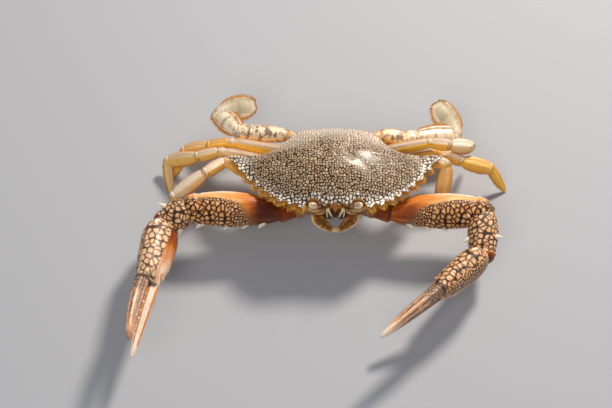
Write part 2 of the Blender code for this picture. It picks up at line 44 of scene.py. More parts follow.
FLOOR_CENTRE = np.array((-4.17, -26.87, 0.0))
BODY_HEIGHT = 38.5
BODY_PITCH = math.radians(9.0)

CAMERA_PLACE = (-16.7, -418.3, 662.9)
CAMERA_DOWN = math.radians(57.7)
CAMERA_LENS = 76.73

# The body's own frame has x to its left, y to its rear and z up from its edge.
SHELL_CENTRE_Y = 3.0
HALF_WIDTH = 55.0
SPINE_ROOT = 50.0
SPINE_LENGTH = 14.0
REAR_START = 14.0
REAR_LENGTH = 19.0
DOME_RISE = 12.5
LATERAL_DROP = 4.5
REAR_DROP = 1.5
SPINE_LIFT = 1.4
SHELL_UNDERSIDE = 1.8
RIM_THICKNESS = 1.0
GAP = 0.3
# Degrees from the left side towards the rear, and the shell's plain radius.
OUTLINE = (
    (-90, 30.0), (-67, 31.2), (-48, 36.0), (-31, 39.5), (-16, 44.8), (-4, 50.1), (5, 51.7),
    (12, 47.0), (18, 40.0), (30, 34.4), (44, 34.2), (56, 34.7), (72, 32.4), (90, 31.0),
)
# Corners of the left half of the edge: front teeth, tips of the side teeth up to
# the long spine, and rear edge.
FRONT_EDGE = (
    (0.0, -25.6), (1.9, -27.2), (3.7, -25.5), (6.1, -27.9), (7.9, -25.6), (8.9, -26.2),
    (9.9, -24.2), (12.0, -23.4), (14.4, -23.4), (16.2, -24.8),
)
SIDE_TEETH = (
    (18.8, -29.4), (25.8, -27.0), (32.2, -23.2), (37.0, -19.3), (41.4, -15.4),
    (45.6, -10.8), (50.2, -5.0), (55.8, 2.2), (64.0, 13.4),
)
REAR_EDGE = (
    (46.5, 14.2), (41.0, 14.9), (35.0, 17.6), (29.8, 22.2), (25.6, 27.6), (21.6, 31.9),
    (16.5, 33.7), (8.5, 34.5), (0.0, 34.8),
)
NOTCH_DEPTH = 2.6
MARGIN_STEP = 0.8
# The rim is pale and ochre in front of this y.
PALE_RIM_END = 12.0
# Swellings of the back: height, then place and half width across and lengthwise.
SWELLINGS = ((0.8, 0.0, 15.0, -8.0, 9.0), (0.5, 0.0, 8.0, 15.0, 6.0), (0.8, 23.0, 11.0, 9.0, 9.0))
# Grooves and ridges of the back: height, half width and line.
FURROWS = (
    (-0.34, 2.3, ((9.0, -1.0), (6.5, 4.0), (8.5, 11.0), (12.0, 20.0))),
    (-0.26, 2.3, ((0.0, 3.5), (9.0, 1.0), (20.0, -8.0), (24.0, -17.0))),
    (0.3, 1.4, ((58.0, 9.0), (46.0, 6.5), (34.0, 4.0), (22.0, 3.5))),
    (0.2, 0.9, ((0.0, -8.0), (5.0, -7.8), (10.0, -6.6))),
)
# Depth below the edge, half width, front and rear of the underside.
UNDER_RINGS = (
    (-5.0, 39.0, -24.2, 27.5), (-8.5, 29.0, -24.4, 26.0), (-13.0, 23.0, -24.0, 25.0),
    (-17.5, 18.5, -20.5, 22.5),
)
# Place and half width of the joints of the folded tail.
ABDOMEN = ((20.5, 9.6), (16.8, 12.6), (12.6, 11.8), (7.0, 9.2), (1.4, 6.4), (-4.0, 4.4), (-8.6, 1.4))
STERNUM_SUTURES = (-13.0, -6.5, 0.5, 7.5, 14.0, 20.0)
SIDES = ((1.0, "left"), (-1.0, "right"))
# Each socket's rim, the way it points and its radius, on the left side.
SOCKETS = {
    "eye": ((8.4, -25.0, -2.9), (0.93, -0.3, 0.34), 1.2),
    "antenna": ((6.6, -26.2, -6.2), (0.25, -0.95, 0.15), 1.2),
    "antennule": ((4.2, -26.4, -3.9), (-0.1, -1.0, 0.0), 1.1),
    "maxilliped": ((11.0, -25.6, -9.8), (0.0, -1.0, -0.4), 2.4),
}
LOWER_ORBIT = ((7.4, -24.6, -7.4), (10.4, -25.6, -6.6), (14.6, -25.3, -5.6), (19.4, -23.4, -4.6))
MOUTH_LID = ((4.4, -22.4, -6.6), (4.3, -24.0, -9.0), (3.8, -24.2, -12.0), (3.2, -22.8, -15.0))
# Distance from the socket and radius.
EYE_STALK = (
    (-0.2, 1.2), (0.9, 1.5), (2.0, 1.8), (3.0, 1.95), (4.0, 2.05), (5.2, 2.05), (6.3, 1.85), (7.2, 1.2),
    (7.6, 0.35),
)
ANTENNA_STEPS = ((0.5, -1.6, 0.4), (0.6, -1.9, 1.4), (1.4, -4.0, 4.0), (2.2, -4.2, 5.0))
# Shift from the socket outwards and down, steps, radii and marks of each branch.
ANTENNULE_BRANCHES = (
    (0.0, 0.0, ((-0.5, -1.0, -1.4), (-1.0, -0.7, -2.0), (-0.7, -0.4, -1.6)),
     (0.95, 0.6, 0.46, 0.3), {"pale": 1.0, "dark": 0.0}),
    (0.5, 0.2, ((0.2, -1.0, -1.4), (-0.1, -0.8, -2.1), (-0.4, -0.5, -1.5)),
     (0.8, 0.5, 0.4, 0.26), {"pale": 0.8, "dark": 0.1}),
)
MAXILLIPED_STEPS = (
    (-0.8, -2.0, -1.3), (-2.4, -1.6, -2.2), (-3.4, -1.3, -2.2), (-2.6, -0.9, -1.2), (-2.0, -0.5, 0.3),
)
MAXILLIPED_SIZES = ((2.8, 2.0), (3.4, 1.6), (3.3, 1.4), (2.5, 1.2), (1.7, 1.0), (0.9, 0.7))

# Each limb: coxa point, then (length, degrees forward of straight out,
# degrees above level) for each segment.
LIMBS = {
    "claw_right": ((24, -19, 25), ((7.4, 20, 0), (52.5, -2, 3), (17.5, 23, -20), (44.7, 83, 9))),
    "claw_left": ((24, -19, 25), ((7.4, 20, 0), (54.6, 0, 2), (26.5, 95, -13), (39.5, 135, 9))),
    "leg_1_right": ((26, -9, 23), ((44.5, -30, 6), (13.9, 34, -4), (24.1, 27, -27), (19.9, 113, -53))),
    "leg_2_right": ((26.5, 13.5, 20.5), ((42.8, -11, 6), (13.9, 4, -17), (23.7, -16, -32), (21.0, 98, -24))),
    "leg_3_right": ((27, 21, 25), ((36.1, -13, -2), (13.2, 2, -15), (18.4, -9, -29), (16.8, 60, -41))),
    "leg_1_left": ((26, -9, 23), ((37.7, -39, 6), (11.6, 18, 0), (24.2, 102, -48), (29.5, 164, -18))),
    "leg_2_left": ((26.5, 13.5, 20.5), ((38.4, -16, -1), (14.0, 24, 0), (18.2, 8, -13), (20.1, 33, -53))),
    "leg_3_left": ((27, 21, 25), ((31.0, -9, 6), (11.3, 11, 3), (14.0, -6, -14), (14.9, -75, -59))),
    "swim_right": ((27, 32, 27), ((24.0, -7, -2), (6.1, -5, -5), (19.6, -49, -1), (22.2, -171, 8))),
    "swim_left": ((27, 32, 27), ((16.5, 1, -12), (6.4, -17, -4), (25.9, -10, -9), (22.6, -123, 18))),
}
# Segment forms: place along the length, half width, half thickness and how
# far the middle lies off the axis, to the rear.
FORMS = {
    "ischium": ((0.0, 4.9, 4.7, 0), (1.0, 5.2, 4.9, 0)),
    "claw_merus": ((0.0, 4.9, 4.7, 0), (0.25, 7.9, 6.2, 1.0), (0.58, 9.8, 7.2, 0.8), (1.0, 8.0, 6.4, 0)),
    "claw_carpus": ((0.0, 6.6, 6.0, 0), (0.45, 8.8, 7.6, 0), (1.0, 7.2, 6.6, 0)),
    "palm": ((0.0, 7.2, 6.0, 0), (0.18, 10.2, 7.7, 0), (0.55, 10.2, 7.8, 0), (1.0, 8.0, 6.2, 0)),
    "merus": ((0.0, 3.0, 2.3, 0), (0.35, 3.8, 2.5, 0), (0.75, 3.7, 2.4, 0), (1.0, 3.0, 2.2, 0)),
    "carpus": ((0.0, 2.9, 2.2, 0), (0.5, 3.6, 2.5, 0), (1.0, 3.3, 2.1, 0)),
    "propodus": ((0.0, 3.1, 2.1, 0), (0.4, 4.2, 2.2, 0), (0.8, 3.8, 2.0, 0), (1.0, 3.0, 1.8, 0)),
    "dactylus": ((0.0, 2.7, 1.7, 0), (0.35, 2.7, 1.6, 0), (0.75, 1.8, 1.1, 0), (1.0, 0.55, 0.5, 0)),
    "swim_merus": ((0.0, 3.6, 2.8, 0), (0.5, 5.0, 3.0, 0), (1.0, 4.6, 2.6, 0)),
    "swim_carpus": ((0.0, 4.4, 2.4, 0), (0.5, 4.9, 2.4, 0), (1.0, 4.5, 2.0, 0)),
    "swim_propodus": ((0.0, 4.5, 1.9, 0), (0.5, 6.6, 1.5, 0), (1.0, 5.6, 1.2, 0)),
    "paddle": ((0.0, 3.4, 1.0, 0), (0.25, 6.4, 0.9, 0), (0.6, 7.2, 0.8, 0), (0.8, 6.3, 0.65, 0),
               (0.9, 5.2, 0.58, 0), (1.0, 3.4, 0.5, 0)),
}
LEG_WORDS = ("merus", "carpus", "propodus", "dactylus")
# Ridges along the segments, and grooves where the height is below 0: degrees round it
# from its rear edge, half width in degrees, height, start, end and pitch of its beads.
RIDGES = {
    "claw_merus": ((2, 14, 0.35, 0.1, 0.95, 0), (8, 4, 0.4, 0.1, 0.95, 1.9), (180, 12, 0.5, 0.1, 0.95, 0)),
    "claw_carpus": ((60, 12, 0.5, 0.2, 0.9, 1.8), (120, 12, 0.4, 0.2, 0.9, 0)),
    "palm": tuple((degrees, 8, 0.45, 0.08, 0.9, 2.1) for degrees in (0, 150, 205, 320)),
    "leg": ((0, 14, 0.35, 0.05, 0.95, 0), (180, 14, 0.35, 0.05, 0.95, 0), (58, 15, -0.32, 0.05, 0.95, 0),
            (122, 15, -0.32, 0.05, 0.95, 0), (90, 10, 0.2, 0.05, 0.95, 0)),
    "swim": ((0, 12, 0.35, 0.05, 0.95, 0), (180, 12, 0.35, 0.05, 0.95, 0), (90, 20, 0.3, 0.05, 0.95, 0),
             (50, 14, -0.3, 0.05, 0.95, 0)),
    "plate": ((90, 18, 0.5, 0.02, 0.9, 0), (270, 18, 0.3, 0.02, 0.9, 0), (55, 12, -0.25, 0.05, 0.95, 0),
              (125, 12, -0.25, 0.05, 0.95, 0), (0, 7, 0.3, 0.05, 0.95, 0), (180, 7, 0.3, 0.05, 0.95, 0)),
}
# Setae of each segment: degrees of its rows, where they start and end, the number
# in a row and their length.
FRINGES = {
    "other": (((184.0,), 0.1, 0.95, 60, 0.8),),
    "propodus": (((180.0, 172.0, 188.0), 0.08, 0.95, 60, 1.1),),
    "dactylus": (((180.0, 172.0, 188.0), 0.08, 0.95, 60, 1.1),),
    "swim_propodus": (((0.0, 180.0), 0.1, 1.05, 190, 1.5),),
    "paddle": (((0.0, 180.0), 0.1, 1.05, 190, 1.5), ((22.0, 158.0), 0.9, 1.06, 60, 1.3)),
}
# How far a bristle's middle lies aside, and its half thickness at the root on the
# limbs and under the margin, all as shares of its length.
BRISTLE_CURL = 0.14
LIMB_BRISTLE = 0.05
MARGIN_BRISTLE = 0.03
# How far each ring of a domed end lies out, as a share of the dome.
CAP = np.array((0.99, 0.93, 0.82, 0.66, 0.46, 0.24))
# How amber each segment is, and how much cream it takes on the face towards the key lamp, from merus to
# dactylus.
LEG_TONES = {
    "leg_1_right": ((0.75, 0.4), (0.75, 0.9), (0.3, 1.0), (0.6, 0.4)),
    "leg_2_right": ((0.5, 0.95), (0.65, 0.85), (0.7, 0.65), (0.7, 0.4)),
    "leg_3_right": ((0.95, 0.95), (1.0, 0.2), (0.85, 0.4), (0.95, 0.2)),
    "leg_1_left": ((0.7, 0.6), (0.65, 1.0), (0.6, 0.9), (0.6, 0.4)),
    "leg_2_left": ((0.9, 0.1), (0.8, 0.9), (0.95, 0.2), (1.0, 0.1)),
    "leg_3_left": ((1.0, 0.95), (0.9, 1.0), (0.3, 1.0), (0.4, 0.9)),
    "swim_right": ((0.35, 0.7), (0.6, 0.7), (0.2, 0.6), (0.2, 0.4)),
    "swim_left": ((0.8, 0.55), (0.65, 0.75), (0.2, 0.9), (0.3, 0.3)),
}
# The direction that each segment's upper face is turned to.
LEG_FACES = ((0.0, -0.9, 0.44), (0.0, -0.8, 0.6), (0.0, -0.6, 0.8), (0.0, -0.6, 0.8))
CLAW_FACE = (0.0, -0.5, 0.86)
UP_AND_BACK = np.array((0.0, 0.8, 0.6))
SWIM_FACE = (0.0, -0.35, 0.94)
CLAW_UP = {"claw_right": (-0.64, 0.0, 0.77), "claw_left": (0.15, -0.05, 1.0)}
CLAW_TIPS = {
    "claw_right": ((-111.0, -112.6, 24.0), (-111.0, -109.8, 40.0)),
    "claw_left": ((24.3, -95.2, 13.0), (23.0, -105.0, 33.0)),
}
# Spines: place along the segment, degrees from its front edge, length, radius and
# how far it leans towards the tip. A short one is drawn plain.
SHORT_SPINE = 3.0
SPINES = {
    "claw_right_merus": ((0.2, 0, 3.6, 1.5, 0.5), (0.38, -4, 3.4, 1.5, 0.5), (0.58, -6, 3.4, 1.5, 0.5),
                         (0.86, -10, 4.6, 1.7, 0.8)),
    "claw_left_merus": ((0.22, 0, 3.4, 1.5, 0.5), (0.4, -4, 3.4, 1.5, 0.5), (0.58, -6, 3.2, 1.5, 0.5),
                        (0.82, 70, 2.6, 1.4, 0.3)),
    "claw_right_carpus": ((0.68, 170, 4.4, 1.6, 0.5), (0.62, 15, 4.4, 1.7, 0.6)),
    "claw_left_carpus": ((0.66, 170, 3.8, 1.6, 0.5), (0.6, 35, 4.6, 1.5, 0.1)),
    "claw_right_propodus": ((0.14, 150, 3.2, 1.5, 0.9), (0.88, 62, 2.6, 1.3, 1.2),
                            (0.86, 118, 2.4, 1.3, 1.2)),
    "claw_left_propodus": ((0.16, 150, 3.2, 1.5, 0.9), (0.88, 62, 2.6, 1.3, 1.2),
                           (0.86, 118, 2.4, 1.3, 1.2)),
}
# Place, height and radius of the teeth of a finger, then its taper.
FINGER_TEETH = (
    (0.14, 1.5, 1.2), (0.26, 1.9, 1.5), (0.38, 1.5, 1.2), (0.49, 1.7, 1.3), (0.6, 1.3, 1.0), (0.7, 1.2, 0.9),
)
FINGER_TAPER = ((0.0, 1.0), (0.25, 0.95), (0.5, 0.84), (0.75, 0.66), (0.9, 0.44), (0.97, 0.25), (1.0, 0.1))
# Half height, half width and bow of the fingers.
FIXED_FINGER = (3.6, 3.5, -1.0)
FREE_FINGER = (4.4, 4.2, -2.4)

# The cream spots lie about this far apart, and farther apart along the front and
# the sides, as on the real back.
SPOT_PITCH = 1.62
RIM_PITCH = 2.2
# Tiles of the net: size, and how far into a tile its dark line ends and its tan is
# full. Common ones, fine ones where the net runs out, coarse ones on the palms.
NET_TILES = ((2.9, 0.05, 0.155), (1.6, 0.07, 0.2), (3.9, 0.035, 0.11))
# Settings of nodes that blend colours, and of nodes that ease from 0 to 1.
BLEND = {"out": 2, "data_type": "RGBA"}
SMOOTH = {"interpolation_type": "SMOOTHSTEP"}

# Name, direction, distance and width in metres, power in watts and colour.
LAMPS = (
    ("key", (0.64, 1.0, 1.1), 1.3, 0.24, 18.5, "#fff5e8"),
    ("fill", (-0.35, -0.9, 1.1), 1.5, 1.0, 8.0, "#fffaf2"),
)


def unit(v):
    """A vector of length 1 in the same direction."""
    v = np.asarray(v, float)
    return v / np.linalg.norm(v)


def ease(value, low, high):
    """Smooth step from 0 at low to 1 at high."""
    t = np.clip((value - low) / (high - low), 0.0, 1.0)
    return t * t * (3.0 - 2.0 * t)


def bell(distance, width):
    """Smooth bump, 1 at no distance and near 0 at twice the width."""
    return np.exp(-(distance / width) ** 2)


def curve_between(t, h, k, y, slope):
    """Smooth curve from row k of y to the next row, h apart, at the share t."""
    return (
        (2 * t ** 3 - 3 * t ** 2 + 1) * y[k] + (t ** 3 - 2 * t ** 2 + t) * h * slope[k]
        + (3 * t ** 2 - 2 * t ** 3) * y[k + 1] + (t ** 3 - t ** 2) * h * slope[k + 1])


def flow(stations, places):
    """Values of (place, ...) rows at the given places, smooth through every row."""
    table = np.array(stations, float)
    x, y = table[:, 0], table[:, 1:]
    k = np.clip(np.searchsorted(x, places) - 1, 0, len(x) - 2)
    h = (x[k + 1] - x[k])[:, None]
    t = np.clip((places - x[k])[:, None] / h, 0.0, 1.0)
    return curve_between(t, h, k, y, np.gradient(y, x, axis=0))


def lengths_along(path):
    """How far along a path each of its points lies."""
    return np.concatenate([[0.0], np.cumsum(np.linalg.norm(np.diff(path, axis=0), axis=1))])


def full_turn(count):
    """Angles of points spaced evenly round a circle."""
    return np.linspace(0.0, 2.0 * math.pi, count + 1)[:-1]


def angle_gap(turn, degrees):
    """How far turn lies past an angle, from -180 to 180 degrees."""
    return (turn - degrees + 180.0) % 360.0 - 180.0


def mirrored(place, side):
    """A place of the left half, on the side that is 1 for left and -1 for right."""
    return np.array((side * place[0], place[1], place[2]))


def body(points):
    """Points of the body's own frame, in the standing frame."""
    x, y, z = np.moveaxis(np.asarray(points, float), -1, 0)
    c, s = math.cos(BODY_PITCH), math.sin(BODY_PITCH)
    return np.stack([x, y * c + z * s, BODY_HEIGHT - y * s + z * c], -1)


def heading(vector):
    """A direction in the body's own frame, in the standing frame."""
    return unit(body(vector) - body((0, 0, 0)))


class Surface:
    """Points, faces, a map in millimetres and marks that a piece is made of."""

    def __init__(self):
        self.points = []
        self.faces = []
        self.maps = []
        self.marks = {}
        self.count = 0

    def add_rings(self, rings, first=None, last=None, **marks):
        """A closed skin over rings of points that ends at two poles."""
        rows, cols = rings.shape[:2]
        first = rings[0].mean(0) if first is None else first
        last = rings[-1].mean(0) if last is None else last
        points = np.vstack([rings.reshape(-1, 3), [first, last]])
        r, c = np.meshgrid(np.arange(rows - 1), np.arange(cols), indexing="ij")
        n = (c + 1) % cols
        corners = (r * cols + c, r * cols + n, (r + 1) * cols + n, (r + 1) * cols + c)
        quads = np.stack(corners, -1).reshape(-1, 4)
        # The map is as wide as a wide ring is round, and as long as the skin.
        girth = np.percentile(np.linalg.norm(np.roll(rings, -1, 1) - rings, axis=2).sum(1), 70)
        steps = np.linalg.norm(np.diff(rings, axis=0), axis=2).mean(1)
        along = np.concatenate([[0.0], np.cumsum(steps)])
        left, right = c / cols * girth, (c + 1) / cols * girth
        sides = ((left, along[r]), (right, along[r]), (right, along[r + 1]), (left, along[r + 1]))
        blocks = [(quads, np.stack([np.stack(side, -1) for side in sides], 2).reshape(-1, 4, 2))]
        k = np.arange(cols)
        for row, pole, turn in ((0, rows * cols, 1), (rows - 1, rows * cols + 1, -1)):
            fan = np.stack([row * cols + (k + 1) % cols, row * cols + k, np.full(cols, pole)], -1)
            wide = np.stack([(k + 1) / cols * girth, k / cols * girth, (k + 0.5) / cols * girth], -1)
            level = np.tile([along[row], along[row], along[row] - turn * 0.3], (cols, 1))
            blocks.append((fan[:, ::turn], np.stack([wide, level], -1)[:, ::turn]))
        size = 0.0
        for three in (quads[:, (0, 1, 2)], quads[:, (0, 2, 3)], blocks[1][0], blocks[2][0]):
            a, b, d = (points[three[:, i]] for i in range(3))
            size += np.einsum("ij,ij->i", a, np.cross(b, d)).sum()
        # A skin that came out inside out has its faces turned round.
        flip = -1 if size < 0 else 1
        for block, block_map in blocks:
            self.faces += (block[:, ::flip] + self.count).tolist()
            self.maps.append(block_map[:, ::flip].reshape(-1, 2))
        self.points.append(points)
        for name, values in marks.items():
            values = np.broadcast_to(values, (rows, cols))
            flat = np.concatenate([values.reshape(-1), [values[0].mean(), values[-1].mean()]])
            self.marks.setdefault(name, []).append((self.count, flat))
        self.count += len(points)

    def piece(self, name, material, node):
        """Make the mesh, which rides on the root and stands for one CAD node."""
        mesh = bpy.data.meshes.new(name)
        points = (np.vstack(self.points) - FLOOR_CENTRE) * MM
        mesh.from_pydata(points.tolist(), [], self.faces)
        layer = mesh.uv_layers.new(name="surface_mm")
        layer.data.foreach_set("uv", np.vstack(self.maps).astype(np.float32).ravel())
        for mark, blocks in self.marks.items():
            values = np.zeros(self.count, np.float32)
            for start, flat in blocks:
                values[start:start + len(flat)] = flat
            mesh.attributes.new(mark, "FLOAT", "POINT").data.foreach_set("value", values)
        mesh.polygons.foreach_set("use_smooth", np.ones(len(mesh.polygons), bool))
        mesh.validate()
        mesh.materials.append(material)
        obj = bpy.data.objects.new(name, mesh)
        bpy.context.scene.collection.objects.link(obj)
        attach(obj, "root")
        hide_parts(node)


def colour(code):
    """Linear colour of an sRGB hex value."""
    parts = [int(code[k:k + 2], 16) / 255.0 for k in (1, 3, 5)]
    return (*[p / 12.92 if p <= 0.04045 else ((p + 0.055) / 1.055) ** 2.4 for p in parts], 1.0)


def add_node(tree, kind, inputs=None, out=0, **settings):
    """Add a node and give its output out. An input is a value, a hex colour or a socket."""
    made = tree.nodes.new(kind if "Node" in kind else "ShaderNode" + kind)
    for key, value in settings.items():
        setattr(made, key, value)
    for key, value in (inputs or {}).items():
        if isinstance(value, bpy.types.NodeSocket):
            tree.links.new(value, made.inputs[key])
        else:
            made.inputs[key].default_value = colour(value) if str(value).startswith("#") else value
    return made.outputs[out] if made.outputs else None


def start_material(name, marks=()):
    """A new material, its tree and shader, and the piece's marks as sockets."""
    material = bpy.data.materials.new(name)
    material.use_nodes = True
    tree = material.node_tree
    given = {mark: add_node(tree, "Attribute", out="Fac", attribute_name=mark) for mark in marks}
    return material, tree, tree.nodes["Principled BSDF"], given


def finish_skin(tree, shader, paint, relief, gloss, own):
    """Join a skin's paint, its relief (height, strength, metres) and its gloss
    (share, roughness at 0 and at 1) to the shader, whose own sockets own sets."""
    bump = add_node(tree, "Bump", dict(zip(("Height", "Strength", "Distance"), relief)))
    rough = add_node(tree, "MapRange", dict(zip((0, 3, 4), gloss)))
    for socket, source in (("Base Color", paint), ("Normal", bump), ("Roughness", rough)):
        tree.links.new(source, shader.inputs[socket])
    for socket, value in own.items():
        shader.inputs[socket].default_value = value


def place_in_mm(tree):
    """Places of a piece in millimetres."""
    place = add_node(tree, "TexCoord", out="Object")
    return add_node(tree, "VectorMath", {0: place, "Scale": 1000.0}, operation="SCALE")


def uneven(tree, mm):
    """Places shifted by up to about a millimetre, so that no pattern runs straight."""
    warp = add_node(tree, "TexNoise", {"Vector": mm, "Scale": 0.3, "Detail": 2.0}, out="Color")
    warp = add_node(tree, "VectorMath", {0: warp, "Scale": 2.4}, operation="SCALE")
    return add_node(tree, "VectorMath", {0: mm, 1: warp}, operation="ADD")


def scale_cells(tree, where, size, loose, corner):
    """Cells of a size in mm: distance from the edge, chance colour, rounding disc."""
    cells = {"Vector": where, "Scale": 1.0 / size, "Randomness": loose}
    flat = {"voronoi_dimensions": "2D"}
    edge = add_node(tree, "TexVoronoi", cells, "Distance", feature="DISTANCE_TO_EDGE", **flat)
    each = add_node(tree, "TexVoronoi", cells, "Color", feature="F1", **flat)
    disc = {0: each.node.outputs["Distance"], 1: corner, 2: corner - 0.2}
    return edge, each, add_node(tree, "MapRange", disc)


def clouded_warmth(tree, marks, warm, shift, tones, cream):
    """Ground paint: the mark warmth picks one of the tones, the mark pale adds cream."""
    heat = {0: warm[0], 1: warm[1], 2: marks["warmth"]}
    heat = add_node(tree, "Math", heat, operation="MULTIPLY_ADD", use_clamp=True)
    pale = add_node(tree, "Math", {0: shift, 1: 2.4, 2: 1.0}, operation="MULTIPLY_ADD")
    pale = add_node(tree, "Math", {0: pale, 1: marks["pale"]}, operation="MULTIPLY", use_clamp=True)
    ground = add_node(tree, "ValToRGB", {0: heat})
    ramp = ground.node.color_ramp
    ramp.elements[0].color = colour(tones[0][1])
    ramp.elements[1].color = colour(tones[-1][1])
    for at, tone in tones[1:-1]:
        ramp.elements.new(at).color = colour(tone)
    return add_node(tree, "Mix", {0: pale, 6: ground, 7: cream}, **BLEND)


def blotches(tree, mm, marks, scale, rough, low, high):
    """Sparse stains, as strong as the mark blotch."""
    stain = {"Vector": mm, "Scale": scale, "Detail": 4.0, "Roughness": rough}
    stain = add_node(tree, "TexNoise", stain)
    stain = add_node(tree, "MapRange", {0: stain, 1: low, 2: high})
    return add_node(tree, "Math", {0: stain, 1: marks["blotch"]}, operation="MULTIPLY")


def spotted_cuticle():
    """Waxed, calcified cuticle of the back: cream spots in a dark brown net. The wax
    gives one broad soft shine over both, and the spots stand up a little."""
    material, tree, shader, marks = start_material("waxed_spotted_cuticle", ("pale", "rear", "ochre"))
    mm = place_in_mm(tree)
    bent = uneven(tree, mm)
    grades = []
    for pitch in (SPOT_PITCH, RIM_PITCH):
        edge, each, disc = scale_cells(tree, bent, pitch, 0.75, 0.6)
        low = add_node(tree, "SeparateColor", {0: each})
        low = add_node(tree, "MapRange", {0: low, 3: 0.05, 4: 0.15})
        high = add_node(tree, "Math", {0: low, 1: 0.13}, operation="ADD")
        spot = add_node(tree, "MapRange", {0: edge, 1: low, 2: high}, **SMOOTH)
        # Cutting the cells by a disc rounds their corners off.
        grades.append((add_node(tree, "Math", {0: spot, 1: disc}, operation="MULTIPLY"), each))
    rim = add_node(tree, "Math", {0: marks["pale"], 1: 0.42}, operation="GREATER_THAN")
    spot = add_node(tree, "Mix", {0: rim, 2: grades[0][0], 3: grades[1][0]})
    each = add_node(tree, "Mix", {0: rim, 6: grades[0][1], 7: grades[1][1]}, **BLEND)
    chance = add_node(tree, "SeparateColor", {0: each}).node.outputs
    tones = []
    # Tones of the net and of the spots. Towards the rear they are paler, partly the shell's own tone and
    # partly painted sheen. Where the mark pale is set they are whiter: the shell's own colour on the front
    # and rim, a painted reflection on the flanks.
    for lot, tone, other, rear_tone_and_sheen, pale_rim_and_reflection in (
            (chance[1], "#2a1607", "#442a12", "#a08262", "#473322"),
            (chance[2], "#b38e66", "#e2c8a6", "#fff0dc", "#f4ece0")):
        for share, over in ((lot, other), (marks["rear"], rear_tone_and_sheen), (marks["pale"], pale_rim_and_reflection)):
            tone = add_node(tree, "Mix", {0: share, 6: tone, 7: over}, **BLEND)
        tones.append(tone)
    paint = add_node(tree, "Mix", {0: spot, 6: tones[0], 7: tones[1]}, **BLEND)
    paint = add_node(tree, "Mix", {0: marks["ochre"], 6: paint, 7: "#c68a38"}, **BLEND)
    # Broad patches of about 17 mm vary the tone a little.
    cloud = add_node(tree, "TexNoise", {"Vector": mm, "Scale": 0.06, "Detail": 3.0})
    value = add_node(tree, "MapRange", {0: cloud, 1: 0.3, 2: 0.7, 3: 0.82, 4: 1.12})
    paint = add_node(tree, "HueSaturation", {"Color": paint, "Value": value})
    # The grains lie 0.8 mm apart, coarser than the real ones, so that they can show.
    grain = add_node(tree, "TexVoronoi", {"Vector": mm, "Scale": 1.3}, "Distance", feature="F1")
    height = add_node(tree, "Math", {0: grain, 1: -0.4, 2: spot}, operation="MULTIPLY_ADD")
    finish_skin(tree, shader, paint, (height, 0.6, 0.0002), (spot, 0.4, 0.5),
                {"Coat Weight": 0.6, "Coat Roughness": 0.33})
    return material


